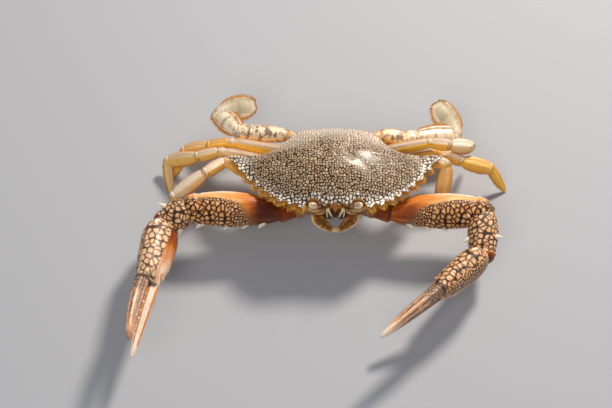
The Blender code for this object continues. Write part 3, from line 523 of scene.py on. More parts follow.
def netted_cuticle():
    """Thick claw cuticle: tan tiles in a dark brown net, smooth orange elsewhere. It is
    worn smooth, which gives small sharp lights over a satin ground."""
    material, tree, shader, marks = start_material(
        "glossy_netted_cuticle", ("net", "warmth", "pale", "dark", "light", "dusk", "fine"))
    mm = add_node(tree, "UVMap", uv_map="surface_mm")
    bent = uneven(tree, mm)
    grades = []
    for size, thin, wide in NET_TILES:
        edge, each, disc = scale_cells(tree, bent, size, 0.85, 0.64)
        tile = add_node(tree, "MapRange", {0: edge, 1: thin, 2: wide}, **SMOOTH)
        tile = add_node(tree, "Math", {0: tile, 1: disc}, operation="MULTIPLY")
        heart = add_node(tree, "MapRange", {0: edge, 1: 0.16, 2: 0.36}, **SMOOTH)
        grades.append((tile, heart, each))
    tile, heart, each = grades[0]
    for limit, test, other in ((0.5, "GREATER_THAN", grades[1]), (-0.5, "LESS_THAN", grades[2])):
        share = add_node(tree, "Math", {0: marks["fine"], 1: limit}, operation=test)
        tile = add_node(tree, "Mix", {0: share, 2: tile, 3: other[0]})
        heart = add_node(tree, "Mix", {0: share, 2: heart, 3: other[1]})
        each = add_node(tree, "Mix", {0: share, 6: each, 7: other[2]}, **BLEND)
    chance = add_node(tree, "SeparateColor", {0: each}).node.outputs
    tan = add_node(tree, "Mix", {0: chance[2], 6: "#b8682a", 7: "#d08a48"}, **BLEND)
    cream = add_node(tree, "Mix", {0: chance[1], 6: "#e0ab6c", 7: "#f2d4a2"}, **BLEND)
    dark = add_node(tree, "Mix", {0: marks["fine"], 6: "#260f02", 7: "#451610"}, **BLEND)
    tan = add_node(tree, "Mix", {0: heart, 6: tan, 7: cream}, **BLEND)
    tan = add_node(tree, "Mix", {0: marks["light"], 6: tan, 7: "#f0d2b2"}, **BLEND)
    dark = add_node(tree, "Mix", {0: marks["light"], 6: dark, 7: "#6b4a33"}, **BLEND)
    netted = add_node(tree, "Mix", {0: tile, 6: dark, 7: tan}, **BLEND)
    # Clouds of about 3 mm fray the net's edge and vary its tone.
    cloud = add_node(tree, "TexNoise", {"Vector": mm, "Scale": 0.35, "Detail": 4.0})
    shift = add_node(tree, "Math", {0: cloud, 1: 0.5}, operation="SUBTRACT")
    # Streaks of 3 mm and dusk of 1 mm across run along the limb.
    long_mm = add_node(tree, "Mapping", {"Vector": mm, "Scale": (1.0, 0.22, 1.0)})
    streak = add_node(tree, "TexNoise", {"Vector": long_mm, "Scale": 0.35, "Detail": 4.0})
    streak = add_node(tree, "Math", {0: streak, 1: 0.5}, operation="SUBTRACT")
    tones = ((0.0, "#f9c27c"), (0.35, "#ec8c28"), (0.7, "#a54a08"), (1.0, "#5a2004"))
    plain = clouded_warmth(tree, marks, (streak, 0.9), shift, tones, "#fbeeda")
    share = add_node(tree, "Math", {0: shift, 1: 1.1, 2: marks["net"]}, operation="MULTIPLY_ADD")
    share = add_node(tree, "MapRange", {0: share, 1: 0.3, 2: 0.75}, **SMOOTH)
    dusk = add_node(tree, "TexNoise", {"Vector": long_mm, "Scale": 1.1, "Detail": 3.0})
    dusk = add_node(tree, "MapRange", {0: dusk, 1: 0.7, 2: 0.48})
    dusk = add_node(tree, "Math", {0: dusk, 1: marks["dusk"]}, operation="MULTIPLY")
    paint = plain
    for part, over in ((share, netted), (dusk, "#755648"), (marks["dark"], "#3a1206")):
        paint = add_node(tree, "Mix", {0: part, 6: paint, 7: over}, **BLEND)
    height = add_node(tree, "Math", {0: tile, 1: share}, operation="MULTIPLY")
    height = add_node(tree, "Math", {0: cloud, 1: 0.5, 2: height}, operation="MULTIPLY_ADD")
    finish_skin(tree, shader, paint, (height, 0.55, 0.0003), (cloud, 0.4, 0.58),
                {"Coat Weight": 0.12, "Coat Roughness": 0.22})
    return material


def leg_cuticle():
    """Thin leg cuticle: cream to amber, with rusty edges and blotches. Light goes a
    little way in, which makes the legs glow softly under a satin skin."""
    material, tree, shader, marks = start_material(
        "satin_leg_cuticle", ("warmth", "pale", "edge", "blotch", "dark"))
    mm = add_node(tree, "UVMap", uv_map="surface_mm")
    # Clouds 2 mm across and 6 mm long, and blotches of 4 mm.
    long_mm = add_node(tree, "Mapping", {"Vector": mm, "Scale": (1.0, 0.35, 1.0)})
    cloud = add_node(tree, "TexNoise", {"Vector": long_mm, "Scale": 0.45, "Detail": 4.0})
    shift = add_node(tree, "Math", {0: cloud, 1: 0.5}, operation="SUBTRACT")
    tones = ((0.0, "#f9e6c4"), (0.5, "#ffc974"), (1.0, "#ffc040"))
    paint = clouded_warmth(tree, marks, (shift, 1.4), shift, tones, "#fff2dc")
    stain = blotches(tree, mm, marks, 0.26, 0.6, 0.49, 0.58)
    for share, over in ((stain, "#7c5a44"), (marks["edge"], "#b5651a"), (marks["dark"], "#5f3210")):
        paint = add_node(tree, "Mix", {0: share, 6: paint, 7: over}, **BLEND)
    height = add_node(tree, "Math", {0: stain, 1: -0.5, 2: cloud}, operation="MULTIPLY_ADD")
    finish_skin(tree, shader, paint, (height, 0.4, 0.0004), (cloud, 0.28, 0.46), {
        "Subsurface Weight": 0.12, "Subsurface Radius": (1.0, 0.6, 0.3), "Subsurface Scale": 0.002})
    return material


def paddle_cuticle():
    """Thin, milky cuticle of the swimming plates, with an ochre rim. More light goes
    in than in the legs, and its shine is a little sharper."""
    material, tree, shader, marks = start_material(
        "thin_paddle_cuticle", ("core", "edge", "dark", "blotch"))
    mm = add_node(tree, "UVMap", uv_map="surface_mm")
    # Clouds of 2.5 mm, and blotches of 3 mm.
    cloud = add_node(tree, "TexNoise", {"Vector": mm, "Scale": 0.4, "Detail": 4.0})
    share = add_node(tree, "MapRange", {0: cloud, 1: 0.38, 2: 0.62})
    stain = blotches(tree, mm, marks, 0.32, 0.5, 0.5, 0.66)
    paint = "#f4ead6"
    for share, over in (
            (share, "#e6d2ae"), (marks["core"], "#c2b898"), (stain, "#a08a80"),
            (marks["edge"], "#b87528"), (marks["dark"], "#6a3d16")):
        paint = add_node(tree, "Mix", {0: share, 6: paint, 7: over}, **BLEND)
    finish_skin(tree, shader, paint, (cloud, 0.35, 0.0003), (cloud, 0.22, 0.42), {
        "Subsurface Weight": 0.2, "Subsurface Radius": (1.0, 0.8, 0.5), "Subsurface Scale": 0.0015})
    return material


def small_cuticle(name, light, dark, rough, deep="#2a1206", cream="#f0dfc0"):
    """Cuticle of a small part: two clouded tones with a deep and a cream mark, under
    a satin shine, or a wet one where it is less rough."""
    material, tree, shader, marks = start_material(name, ("pale", "dark"))
    # Clouds of about 2 mm.
    cloud = {"Vector": place_in_mm(tree), "Scale": 0.55, "Detail": 5.0}
    cloud = add_node(tree, "TexNoise", cloud)
    share = add_node(tree, "MapRange", {0: cloud, 1: 0.36, 2: 0.64})
    paint = light
    for share, over in ((share, dark), (marks["pale"], cream), (marks["dark"], deep)):
        paint = add_node(tree, "Mix", {0: share, 6: paint, 7: over}, **BLEND)
    finish_skin(tree, shader, paint, (cloud, 0.35, 0.0003), (cloud, rough - 0.08, rough + 0.08), {})
    return material


def seta_horn():
    """Fine horny bristles with a dull golden sheen, some of them paler than others."""
    material, tree, shader, marks = start_material("golden_horn_bristle", ("tone",))
    paint = add_node(tree, "Mix", {0: marks["tone"], 6: "#c87c12", 7: "#ffcb62"}, **BLEND)
    tree.links.new(paint, shader.inputs["Base Color"])
    shader.inputs["Roughness"].default_value = 0.45
    return material


SHELL = spotted_cuticle()
CLAW = netted_cuticle()
LEG = leg_cuticle()
PADDLE = paddle_cuticle()
FACE = small_cuticle("ochre_face_cuticle", "#cf8a30", "#85490f", 0.38, cream="#ffe6bd")
PALE = small_cuticle("pale_cuticle", "#efe0c4", "#d8b98a", 0.42)
EYE = small_cuticle("wet_eye_cuticle", "#e2bd94", "#7c4d30", 0.24, "#4a2412", "#fbe0bd")
SETA = seta_horn()


def outline_radius(angle):
    """Plain radius of the shell at angles from its left side, in degrees."""
    angle = (np.asarray(angle, float) + 180.0) % 360.0 - 180.0
    angle = np.where(angle > 90.0, 180.0 - angle, angle)
    angle = np.where(angle < -90.0, -180.0 - angle, angle)
    knots = [(-180 - OUTLINE[1][0], OUTLINE[1][1]), *OUTLINE, (180 - OUTLINE[-2][0], OUTLINE[-2][1])]
    x, y = np.array(knots, float).T
    slope = np.zeros(len(x))
    slope[1:-1] = (y[2:] - y[:-2]) / (x[2:] - x[:-2])
    k = np.clip(np.searchsorted(x, angle) - 1, 1, len(x) - 3)
    h = x[k + 1] - x[k]
    return curve_between((angle - x[k]) / h, h, k, y, slope)


def brim(x, y):
    """Height of the shell's edge surface."""
    side = np.minimum(np.abs(x), SPINE_ROOT) / HALF_WIDTH
    rear = np.maximum(0.0, (y - REAR_START) / REAR_LENGTH)
    spine = np.maximum(0.0, (np.abs(x) - SPINE_ROOT) / SPINE_LENGTH)
    return -LATERAL_DROP * side ** 2 - REAR_DROP * rear ** 2 + SPINE_LIFT * spine


def away_from(x, y, line):
    """Distance of points from a line of (x, y) corners."""
    best = np.full(np.shape(x), 1e9)
    for (ax, ay), (bx, by) in zip(line, line[1:]):
        dx, dy = bx - ax, by - ay
        t = np.clip(((x - ax) * dx + (y - ay) * dy) / (dx * dx + dy * dy), 0.0, 1.0)
        best = np.minimum(best, np.hypot(x - ax - t * dx, y - ay - t * dy))
    return best


def relief(x, y):
    """Swellings, grooves and ridges of the back, in mm above its plain dome."""
    x = np.abs(x)
    rise = 0.0
    for height, across, wide, lengthwise, long in SWELLINGS:
        rise = rise + height * bell(x - across, wide) * bell(y - lengthwise, long)
    for height, wide, line in FURROWS:
        rise = rise + height * bell(away_from(x, y, line), wide)
    return rise


def margin():
    """The toothed margin of the shell, from front centre round by the left."""
    half = [(p, 0.0) for p in FRONT_EDGE] + [(SIDE_TEETH[0], 0.0)]
    for near, far in zip(SIDE_TEETH, SIDE_TEETH[1:]):
        # The notch lies close to the next tooth, but the long spine has a broad root.
        place = 0.66 if far is not SIDE_TEETH[-1] else 0.3
        x = near[0] + (far[0] - near[0]) * place
        y = near[1] + (far[1] - near[1]) * place
        inward = unit((-x, SHELL_CENTRE_Y - y)) * NOTCH_DEPTH
        half.append(((x + inward[0], y + inward[1]), 0.5))
        half.append((far, -0.2))
    line = [np.array(half[0][0])]
    for (a, _), (b, swell) in zip(half, half[1:]):
        a, b = np.array(a), np.array(b)
        outward = unit((b[1] - a[1], a[0] - b[0]))
        steps = max(3, int(np.linalg.norm(b - a) / MARGIN_STEP))
        for t in np.linspace(0.0, 1.0, steps + 1)[1:]:
            line.append(a + (b - a) * t + outward * swell * math.sin(math.pi * t))
    rear = np.array([half[-1][0], *REAR_EDGE, (-REAR_EDGE[-2][0], REAR_EDGE[-2][1])])
    reach = lengths_along(rear)
    places = np.linspace(0.0, reach[-2], int(reach[-2] / MARGIN_STEP))
    line += list(flow(np.column_stack([reach, rear]), places)[1:])
    half = np.array(line)
    return np.vstack([half, half[-2:0:-1] * (-1.0, 1.0)])


def shell_plan():
    """The margin from the shell's centre, its reach, the plain radius there, and the
    share of the reach that lies inside the teeth."""
    away = margin() - (0.0, SHELL_CENTRE_Y)
    reach = np.hypot(away[:, 0], away[:, 1])
    smooth = outline_radius(np.degrees(np.arctan2(away[:, 1], away[:, 0])))
    return away, reach, smooth, np.minimum(smooth, reach) / reach


def build_carapace():
    """The shell: rings from the middle of the back out to the edge and in beneath."""
    away, reach, smooth, inner = shell_plan()
    rings = []
    marks = {"pale": [], "ochre": [], "rear": []}
    for share in np.concatenate([np.linspace(0.02, 0.9, 56), np.linspace(0.915, 1.0, 9)]):
        # The rings turn from the plain outline to the toothed one near the edge.
        toothed = ease(share, 0.8, 1.0)
        scale = share * (inner * (1.0 - toothed) + toothed)
        x, y = away[:, 0] * scale, SHELL_CENTRE_Y + away[:, 1] * scale
        part = np.hypot(x, y - SHELL_CENTRE_Y) / smooth
        z = brim(x, y) + DOME_RISE * np.maximum(0.0, 1.0 - part ** 2)
        fade = 1.0 - ease(share, 0.93, 1.0)
        z = z + relief(x, y) * fade + 0.3 * bell((1.0 - share) * reach - 1.1, 0.5)
        rings.append(body(np.stack([x, y, z], -1)))
        # The front is pale, as is the rim. The pale on the flanks is a painted reflection. The net pales to
        # the rear, partly its own tone and partly painted sheen.
        front = 0.85 * ease(-y, 14.0, 25.0) * ease(share, 0.82, 0.96)
        flank_reflection = 0.45 * ease(np.abs(x), 42.0, 56.0)
        rim = 0.5 * ease(share, 0.86, 0.98)
        marks["pale"].append(np.clip(np.maximum(front, flank_reflection) + rim * (y < PALE_RIM_END), 0, 1))
        marks["ochre"].append(ease(share, 0.985, 1.0) * (y < PALE_RIM_END) * 0.6)
        marks["rear"].append(ease(y, 6.0, 26.0))
    under = [(share * inner, SHELL_UNDERSIDE, 1.0) for share in (0.94, 0.86, 0.68, 0.5, 0.25)]
    for scale, drop, ochre in ((1.003, 0.35, 0.9), (0.998, 0.7, 0.9), (0.988, RIM_THICKNESS, 0.9), *under):
        x, y = away[:, 0] * scale, SHELL_CENTRE_Y + away[:, 1] * scale
        rings.append(body(np.stack([x, y, brim(x, y) - drop], -1)))
        for mark, value in (("pale", 0.0), ("ochre", ochre), ("rear", 0.0)):
            marks[mark].append(np.full(len(x), value))
    shell = Surface()
    shell.add_rings(np.array(rings), **{mark: np.array(rows) for mark, rows in marks.items()})
    shell.piece("carapace_shell", SHELL, "carapace")


def limb_points(name):
    """Joints of a limb, from its coxa to its tip."""
    side = 1.0 if name.endswith("left") else -1.0
    base, segments = LIMBS[name]
    points = [mirrored(base, side)]
    for length, forward, rise in segments:
        forward, rise = math.radians(forward), math.radians(rise)
        out = math.cos(forward) * math.cos(rise)
        step = np.array((side * out, -math.sin(forward) * math.cos(rise), math.sin(rise)))
        points.append(points[-1] + step * length)
    return points


def segment_frame(start, end, face):
    """Unit vectors along a segment, across it to its rear edge and out of its upper face."""
    axis = unit(end - start)
    across = unit(np.cross(axis, face))
    if across @ UP_AND_BACK < 0.0:
        across = -across
    through = np.cross(across, axis)
    if through[2] < 0.0:
        through = -through
    return axis, across, through


def bristle_tree():
    """Nodes that grow a tapering, slightly bent bristle at every point of a mesh."""
    tree = bpy.data.node_groups.new("bristles", "GeometryNodeTree")
    sockets = [
        tree.interface.new_socket(name, in_out=way, socket_type="NodeSocket" + kind)
        for name, way, kind in (
            ("Roots", "INPUT", "Geometry"), ("Bristle Radius", "INPUT", "Float"),
            ("Curl", "INPUT", "Float"), ("Bristles", "OUTPUT", "Geometry"))]
    given = add_node(tree, "NodeGroupInput").node.outputs
    bend = add_node(tree, "CombineXYZ", {0: given["Curl"], 2: 0.55})
    tip = add_node(tree, "VectorMath", {0: bend, 1: (2.0, 0.0, 1.8)}, operation="MULTIPLY")
    line = {"Resolution": 4, "Start": (0, 0, 0), "Middle": bend, "End": tip}
    line = add_node(tree, "GeometryNodeCurveQuadraticBezier", line)
    along = add_node(tree, "GeometryNodeSplineParameter", out="Factor")
    thin = add_node(tree, "MapRange", {0: along, 3: 1.0, 4: 0.12})
    line = add_node(tree, "GeometryNodeSetCurveRadius", {"Curve": line, "Radius": thin})
    ring = {"Resolution": 3, "Radius": given["Bristle Radius"]}
    ring = add_node(tree, "GeometryNodeCurvePrimitiveCircle", ring)
    hair = {"Curve": line, "Profile Curve": ring, "Fill Caps": True}
    hair = add_node(tree, "GeometryNodeCurveToMesh", hair)
    named = "GeometryNodeInputNamedAttribute"
    lie = add_node(tree, named, {"Name": "lie"}, data_type="FLOAT_VECTOR")
    turn = add_node(tree, "FunctionNodeAlignRotationToVector", {"Vector": lie}, axis="Z")
    long = add_node(tree, named, {"Name": "reach"}, data_type="FLOAT")
    grown = {"Points": given["Roots"], "Instance": hair, "Rotation": turn, "Scale": long}
    grown = add_node(tree, "GeometryNodeInstanceOnPoints", grown)
    grown = add_node(tree, "GeometryNodeRealizeInstances", {0: grown})
    grown = add_node(tree, "GeometryNodeSetShadeSmooth", {0: grown})
    grown = add_node(tree, "GeometryNodeSetMaterial", {0: grown, "Material": SETA})
    add_node(tree, "NodeGroupOutput", {0: grown})
    return tree, sockets[1].identifier, sockets[2].identifier


BRISTLES = bristle_tree()


def grow(name, roots, lie, reach, tone, radius):
    """A fringe of bristles in one piece, with each one's patch on the bake map."""
    roots = (roots - FLOOR_CENTRE) * MM
    mesh = bpy.data.meshes.new(name)
    mesh.from_pydata(roots.tolist(), [], [])
    for mark, values in (("reach", reach * MM), ("tone", tone)):
        layer = mesh.attributes.new(mark, "FLOAT", "POINT")
        layer.data.foreach_set("value", values.astype(np.float32))
    layer = mesh.attributes.new("lie", "FLOAT_VECTOR", "POINT")
    layer.data.foreach_set("vector", lie.astype(np.float32).ravel())
    obj = bpy.data.objects.new(name, mesh)
    bpy.context.scene.collection.objects.link(obj)
    tree, radius_input, curl_input = BRISTLES
    modifier = obj.modifiers.new("bristles", "NODES")
    modifier.node_group = tree
    modifier[radius_input] = radius
    modifier[curl_input] = BRISTLE_CURL
    depsgraph = bpy.context.evaluated_depsgraph_get()
    made = bpy.data.meshes.new_from_object(obj.evaluated_get(depsgraph))
    obj.modifiers.remove(modifier)
    obj.data = made
    bpy.data.meshes.remove(mesh)
    made.name = name
    # Each bristle's patch lies on the map where its root lies on the piece.
    size = len(made.vertices) // len(roots)
    corners = np.zeros(len(made.loops), np.int64)
    made.loops.foreach_get("vertex_index", corners)
    low, high = roots.min(0), roots.max(0)
    place = 0.02 + 0.96 * (roots[:, :2] - low[:2]) / (np.max((high - low)[:2]) + 1e-6)
    across, along = np.arange(size) % 3, np.arange(size) // 3
    shift = np.stack([(across - 1.0) * 0.0014, (along / along.max() - 0.5) * 0.003], -1)
    maps = place[corners // size] + shift[corners % size]
    layer = made.uv_layers.new(name="OFBake")
    layer.data.foreach_set("uv", maps.astype(np.float32).ravel())
    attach(obj, "root")


def fringe_along(part, degrees, low, high, count, length, seed):
    """Bristles in rows along one edge of a limb segment."""
    random = np.random.default_rng(seed)
    rings = part.rings()
    total, cols = rings.shape[:2]
    rows = np.where((part.place >= low) & (part.place <= high))[0]
    roots, lie = [], []
    for angle in degrees:
        k = int(round(((angle - 270.0) % 360.0) / 360.0 * cols)) % cols
        for _ in range(count):
            at = random.uniform(rows[0], rows[-1])
            a = int(at)
            point = rings[a, k] + (rings[min(a + 1, total - 1), k] - rings[a, k]) * (at - a)
            out = unit(part.outward[a, k] + part.axis * 0.5 + random.normal(0, 0.22, 3))
            # No bristle reaches down into the floor.
            if point[2] + min(out[2], 0.0) * length * 2.2 < 0.2:
                continue
            roots.append(point - part.outward[a, k] * 0.15)
            lie.append(out)
    reach = random.uniform(0.65, 1.0, len(roots)) * length
    return np.array(roots), np.array(lie), reach, random.uniform(0, 1, len(roots))


class Segment:
    """One limb segment: rings of rounded sections along an axis, ends domed."""

    def __init__(self, start, end, face, form, rows, cols, square=2.4, caps=(0.9, 0.6)):
        self.start = start
        self.axis, self.across, self.through = segment_frame(start, end, face)
        self.length = np.linalg.norm(end - start)
        stations = FORMS[form]
        near = -CAP * caps[0] * stations[0][1] / self.length
        far = 1.0 + CAP[::-1] * caps[1] * stations[-1][1] / self.length
        self.place = np.concatenate([near, np.linspace(0.0, 1.0, rows), far])
        shrink = np.concatenate([np.sqrt(1 - CAP ** 2), np.ones(rows), np.sqrt(1 - CAP[::-1] ** 2)])
        values = flow(stations, np.clip(self.place, 0.0, 1.0))
        self.shrink = shrink[:, None]
        self.width, self.thick, self.lift = (values[:, k:k + 1] for k in range(3))
        # The seam of the map lies on the lower face.
        angle = 270.0 + 360.0 * np.arange(cols) / cols
        self.turn = angle[None, :] % 360.0
        c, s = np.cos(np.radians(angle)), np.sin(np.radians(angle))
        self.c = (np.sign(c) * np.abs(c) ** (2.0 / square))[None, :]
        self.s = (np.sign(s) * np.abs(s) ** (2.0 / square))[None, :]
        outward = (
            self.across * (self.c / self.width)[..., None] + self.through * (self.s / self.thick)[..., None])
        self.outward = outward / np.linalg.norm(outward, axis=2, keepdims=True)
        self.rise = np.zeros((len(self.place), cols))

    @property
    def t(self):
        """Place along the segment as a column, from 0 at its start to 1."""
        return self.place[:, None]

    def near(self, degrees, width):
        """How close each point is to an angle round the segment, from 0 to 1."""
        return bell(angle_gap(self.turn, degrees), width)

    def ridges(self, rows):
        """Add the ridges of a row in RIDGES; one of negative height is a groove."""
        for degrees, width, height, low, high, beads in rows:
            fade = ease(self.t, low - 0.05, low + 0.08) * ease(-self.t, -high - 0.05, -high + 0.08)
            wave = 1.0
            if beads:
                wave = 0.55 + 0.45 * np.sin(2.0 * math.pi * self.t * self.length / beads)
            self.rise = self.rise + height * self.near(degrees, width) * fade * wave

    def lip(self, height):
        """A raised collar at the far end, and a waist at the near one."""
        place, width = 0.965, 0.022
        self.rise = self.rise + height * bell(self.t - place, width)
        self.rise = self.rise - 0.7 * height * bell(self.t - place + 2.4 * width, width)
        self.rise = self.rise - 0.14 * self.width * bell(self.t - 0.02, 0.05)

    def rings(self):
        """The sections as rings of points."""
        reach = (self.place * self.length)[:, None]
        middle = self.start + self.axis * reach + self.across * (self.lift * self.shrink)
        wide = ((self.width + self.rise) * self.shrink * self.c)[..., None]
        deep = ((self.thick + self.rise) * self.shrink * self.s)[..., None]
        return middle[:, None, :] + self.across * wide + self.through * deep

    def facing(self, direction):
        """How far each point faces a direction, from -1 to 1."""
        return self.outward @ unit(direction)

    def joints(self):
        """Mark of the soft skin that shows at both ends."""
        return np.maximum(ease(-self.t, -0.03, 0.02), 0.8 * ease(self.t, 1.0, 1.03))

    def spines(self, surface, name):
        """Add the segment's spines; a short one is plain, a long one white at its tip."""
        for place, degrees, length, radius, lean in SPINES.get(name, ()):
            k = np.argmin(np.abs(self.place - place))
            width, thick, lift = self.width[k, 0], self.thick[k, 0], self.lift[k, 0]
            c, s = math.cos(math.radians(degrees)), math.sin(math.radians(degrees))
            root = (
                self.start + self.axis * (place * self.length) + self.across * (lift - width * c * 0.9)
                + self.through * (thick * s * 0.9))
            out = unit(self.through * s - self.across * c + self.axis * lean)
            look = {"pale": (0.1, 0.5), "heat": 0.6}
            if length > SHORT_SPINE:
                look = {"pale": (0.7, 1.6), "heat": 0.3}
                radius = radius * (1.5 if "merus" in name else 1.2)
                length = length * 1.12
            else:
                radius = radius * 1.2
            thorn(surface, root, out, length, radius, bend=self.axis * (lean * 0.5), **look)


def thorn(surface, root, out, length, radius, pale, bend=(0, 0, 0), heat=0.4):
    """A pointed spine whose root is sunk in what carries it."""
    across = unit(np.cross(out, (0.3, 0.9, 0.1)))
    through = np.cross(out, across)
    places = np.array((-0.35, 0.0, 0.2, 0.42, 0.65, 0.85, 0.97))
    sizes = radius * np.array((1.25, 1.1, 0.86, 0.62, 0.4, 0.2, 0.07))
    turn = full_turn(12)
    ring = across * np.cos(turn)[:, None] + through * np.sin(turn)[:, None]
    middle = root + out * (places * length)[:, None] + np.array(bend) * (np.maximum(places, 0) ** 2)[:, None]
    rings = middle[:, None, :] + ring[None] * sizes[:, None, None]
    tint = np.interp(places, (0.0, 1.0), pale)[:, None]
    surface.add_rings(rings, None, root + out * length + np.array(bend), pale=tint, warmth=heat)


def finger_rings(places, turn, root, tip, upward, flat, high, wide, bow):
    """Rings of a curved, grooved finger; angle 0 is up, 90 is its flat side."""
    size = flow(FINGER_TAPER, np.clip(places, 0.0, 1.0))
    along = places[:, None]
    level = np.clip(along, 0.0, 1.0)
    middle = root + (tip - root) * along - upward * (bow * 2.0 * level * (1.0 - level))
    grooves = np.ones((len(places), len(turn)))
    for groove in (52.0, 128.0, 232.0, 308.0):
        grooves = grooves - 0.13 * bell(angle_gap(turn, groove), 15.0) * ease(1.0 - along, 0.05, 0.3)
    c, s = np.cos(np.radians(turn)), np.sin(np.radians(turn))
    tall, broad = high * size * grooves * c, wide * size * grooves * s
    return middle[:, None, :] + upward * tall[..., None] + flat * broad[..., None]


def finger_marks(places, turn, edge, style):
    """Marks of a finger whose cutting edge lies at the angle edge."""
    t = np.clip(places, 0.0, 1.0)[:, None]

    def near(degrees, width):
        return bell(angle_gap(turn, degrees), width)

    if style == "ivory":
        rust = np.maximum(near(112.0, 26.0), near(22.0, 12.0))
        rust = np.maximum(rust, near(200.0, 40.0)) * ease(-t, -0.9, -0.8)
        return {"pale": np.clip(1.15 - 1.5 * rust, 0.0, 1.0), "warmth": 0.4}
    cut = near(edge, 30.0)
    tip = ease(t, 0.84, 0.95)
    ridge = np.zeros((len(places), len(turn)))
    for degrees in (edge + 180.0, 50.0, 100.0, 260.0, 310.0):
        ridge = np.maximum(ridge, near(degrees, 13.0))
    beads = 0.8 + 0.2 * np.sin(2.0 * math.pi * t * 13.0)
    pale = np.maximum(0.85 * ridge * beads, 0.25) * (1.0 - 0.85 * cut)
    dusk = (1.0 - ridge) * ease(-t, -0.95, -0.6) * (1.0 - 0.9 * cut)
    worn = 0.9 * ease(t, 0.55, 0.95) if style == "worn" else 0.0
    return {
        "pale": np.maximum(pale * (1.0 - 0.5 * tip), worn),
        "warmth": 0.36 + 0.3 * tip * (1.0 - worn),
        "dusk": np.maximum(dusk, 0.3) * (1.0 - worn),
    }


def finger_teeth(surface, root, tip, upward, high, bow, facing):
    """Blunt white teeth on the edge of a finger that meets the other finger."""
    for place, height, radius in FINGER_TEETH:
        share = flow(FINGER_TAPER, np.array([place]))[0, 0]
        centre = root + (tip - root) * place - upward * (bow * 2.0 * place * (1.0 - place))
        top = centre + upward * (facing * high * share * 0.86)
        for shift, scale in ((0.0, 1.0), (0.035, 0.62), (-0.04, 0.5)):
            spot = top + (tip - root) * shift
            thorn(surface, spot, upward * facing, height * scale, radius * scale * 0.9, pale=(1.0, 1.0))


def build_claw(name):
    """A claw in five pieces, from ischium to free finger."""
    points = limb_points(name)
    ischium = Segment(points[0], points[1], CLAW_FACE, "ischium", 14, 40)
    surface = Surface()
    surface.add_rings(
        ischium.rings(), warmth=0.82, pale=0.9 * ease(ischium.facing((0, -0.55, -0.83)), 0.86, 0.98),
        dark=0.7 * ischium.joints())
    surface.piece(name + "_ischium_shell", CLAW, name + "_ischium")
    build_arm(name, points)
    build_wrist(name, points)
    build_hand(name, points)


def build_arm(name, points):
    """The claw's merus: netted in front, smooth orange behind and at its base."""
    merus = Segment(points[1], points[2], CLAW_FACE, "claw_merus", 110, 72, 2.2)
    merus.ridges(RIDGES["claw_merus"])
    merus.lip(0.5)
    right = name.endswith("right")
    t, a = merus.t, merus.turn
    # The net starts nearer the base on the left, and its edge slants round the arm.
    early = 0.0 if right else 0.11
    slant = 0.0018 * (a - 130.0)
    start = 82.0 - 40.0 * ease(t, 0.2, 0.9)
    upper = ease(a, start - 8.0, start + 10.0) * ease(-a, -262.0, -236.0)
    net = upper * ease(t + slant, 0.24 - early, 0.44 - early)
    base = ease(-t - slant - early, -0.62, -0.42)
    # Rust deepens towards the base, partly the arm's own colour and partly painted shade from the shell
    # above it.
    deep = 0.62 if right else 0.3
    surface = Surface()
    surface.add_rings(
        merus.rings(), net=net, fine=np.maximum(base, ease(-a, -start - 30.0, -start - 10.0)),
        warmth=0.18 + deep * ease(-t, -0.5, -0.16) * ease(a, 6.0, 50.0) + 0.2 * ease(-t, -0.6, -0.2),
        # The cream line along the upper edge is partly its own colour and partly a painted highlight.
        pale=0.75 * merus.near(8.0, 13.0) * ease(t, 0.35, 0.6),
        dusk=0.6 * bell(net - 0.5, 0.34) * ease(-t, -0.75, -0.5), dark=merus.joints() * 0.6)
    merus.spines(surface, name + "_merus")
    surface.piece(name + "_merus_shell", CLAW, name + "_merus")


def build_wrist(name, points):
    """The claw's carpus, netted above and pale beneath."""
    carpus = Segment(points[2], points[3], CLAW_FACE, "claw_carpus", 60, 64, 2.2, (0.9, 0.7))
    carpus.ridges(RIDGES["claw_carpus"])
    carpus.lip(0.5)
    t, up = carpus.t, carpus.facing((0, 0, 1))
    surface = Surface()
    surface.add_rings(
        carpus.rings(), net=ease(up, -0.35, -0.1) * ease(-t, -1.0, -0.93),
        warmth=0.35 + 0.4 * ease(t, 0.95, 1.0), pale=0.6 * ease(-up, 0.2, 0.7) * (t < 0.95),
        light=0.25, dark=0.6 * carpus.joints())
    carpus.spines(surface, name + "_carpus")
    surface.piece(name + "_carpus_shell", CLAW, name + "_carpus")


def build_hand(name, points):
    """The palm, which runs out into the fixed finger, and the free finger."""
    axis = unit(points[4] - points[3])
    upward = unit(np.array(CLAW_UP[name]) - axis * (axis @ np.array(CLAW_UP[name])))
    palm = Segment(points[3], points[4], unit(np.cross(axis, upward)), "palm", 100, 72, 2.3, (0.9, 0.0))
    fixed_tip, free_tip = (np.array(tip) for tip in CLAW_TIPS[name])
    build_palm(name, palm, upward, points[4] - upward * 3.5, fixed_tip)
    build_free_finger(name, palm, upward, points[4] + upward * 5.0, free_tip)


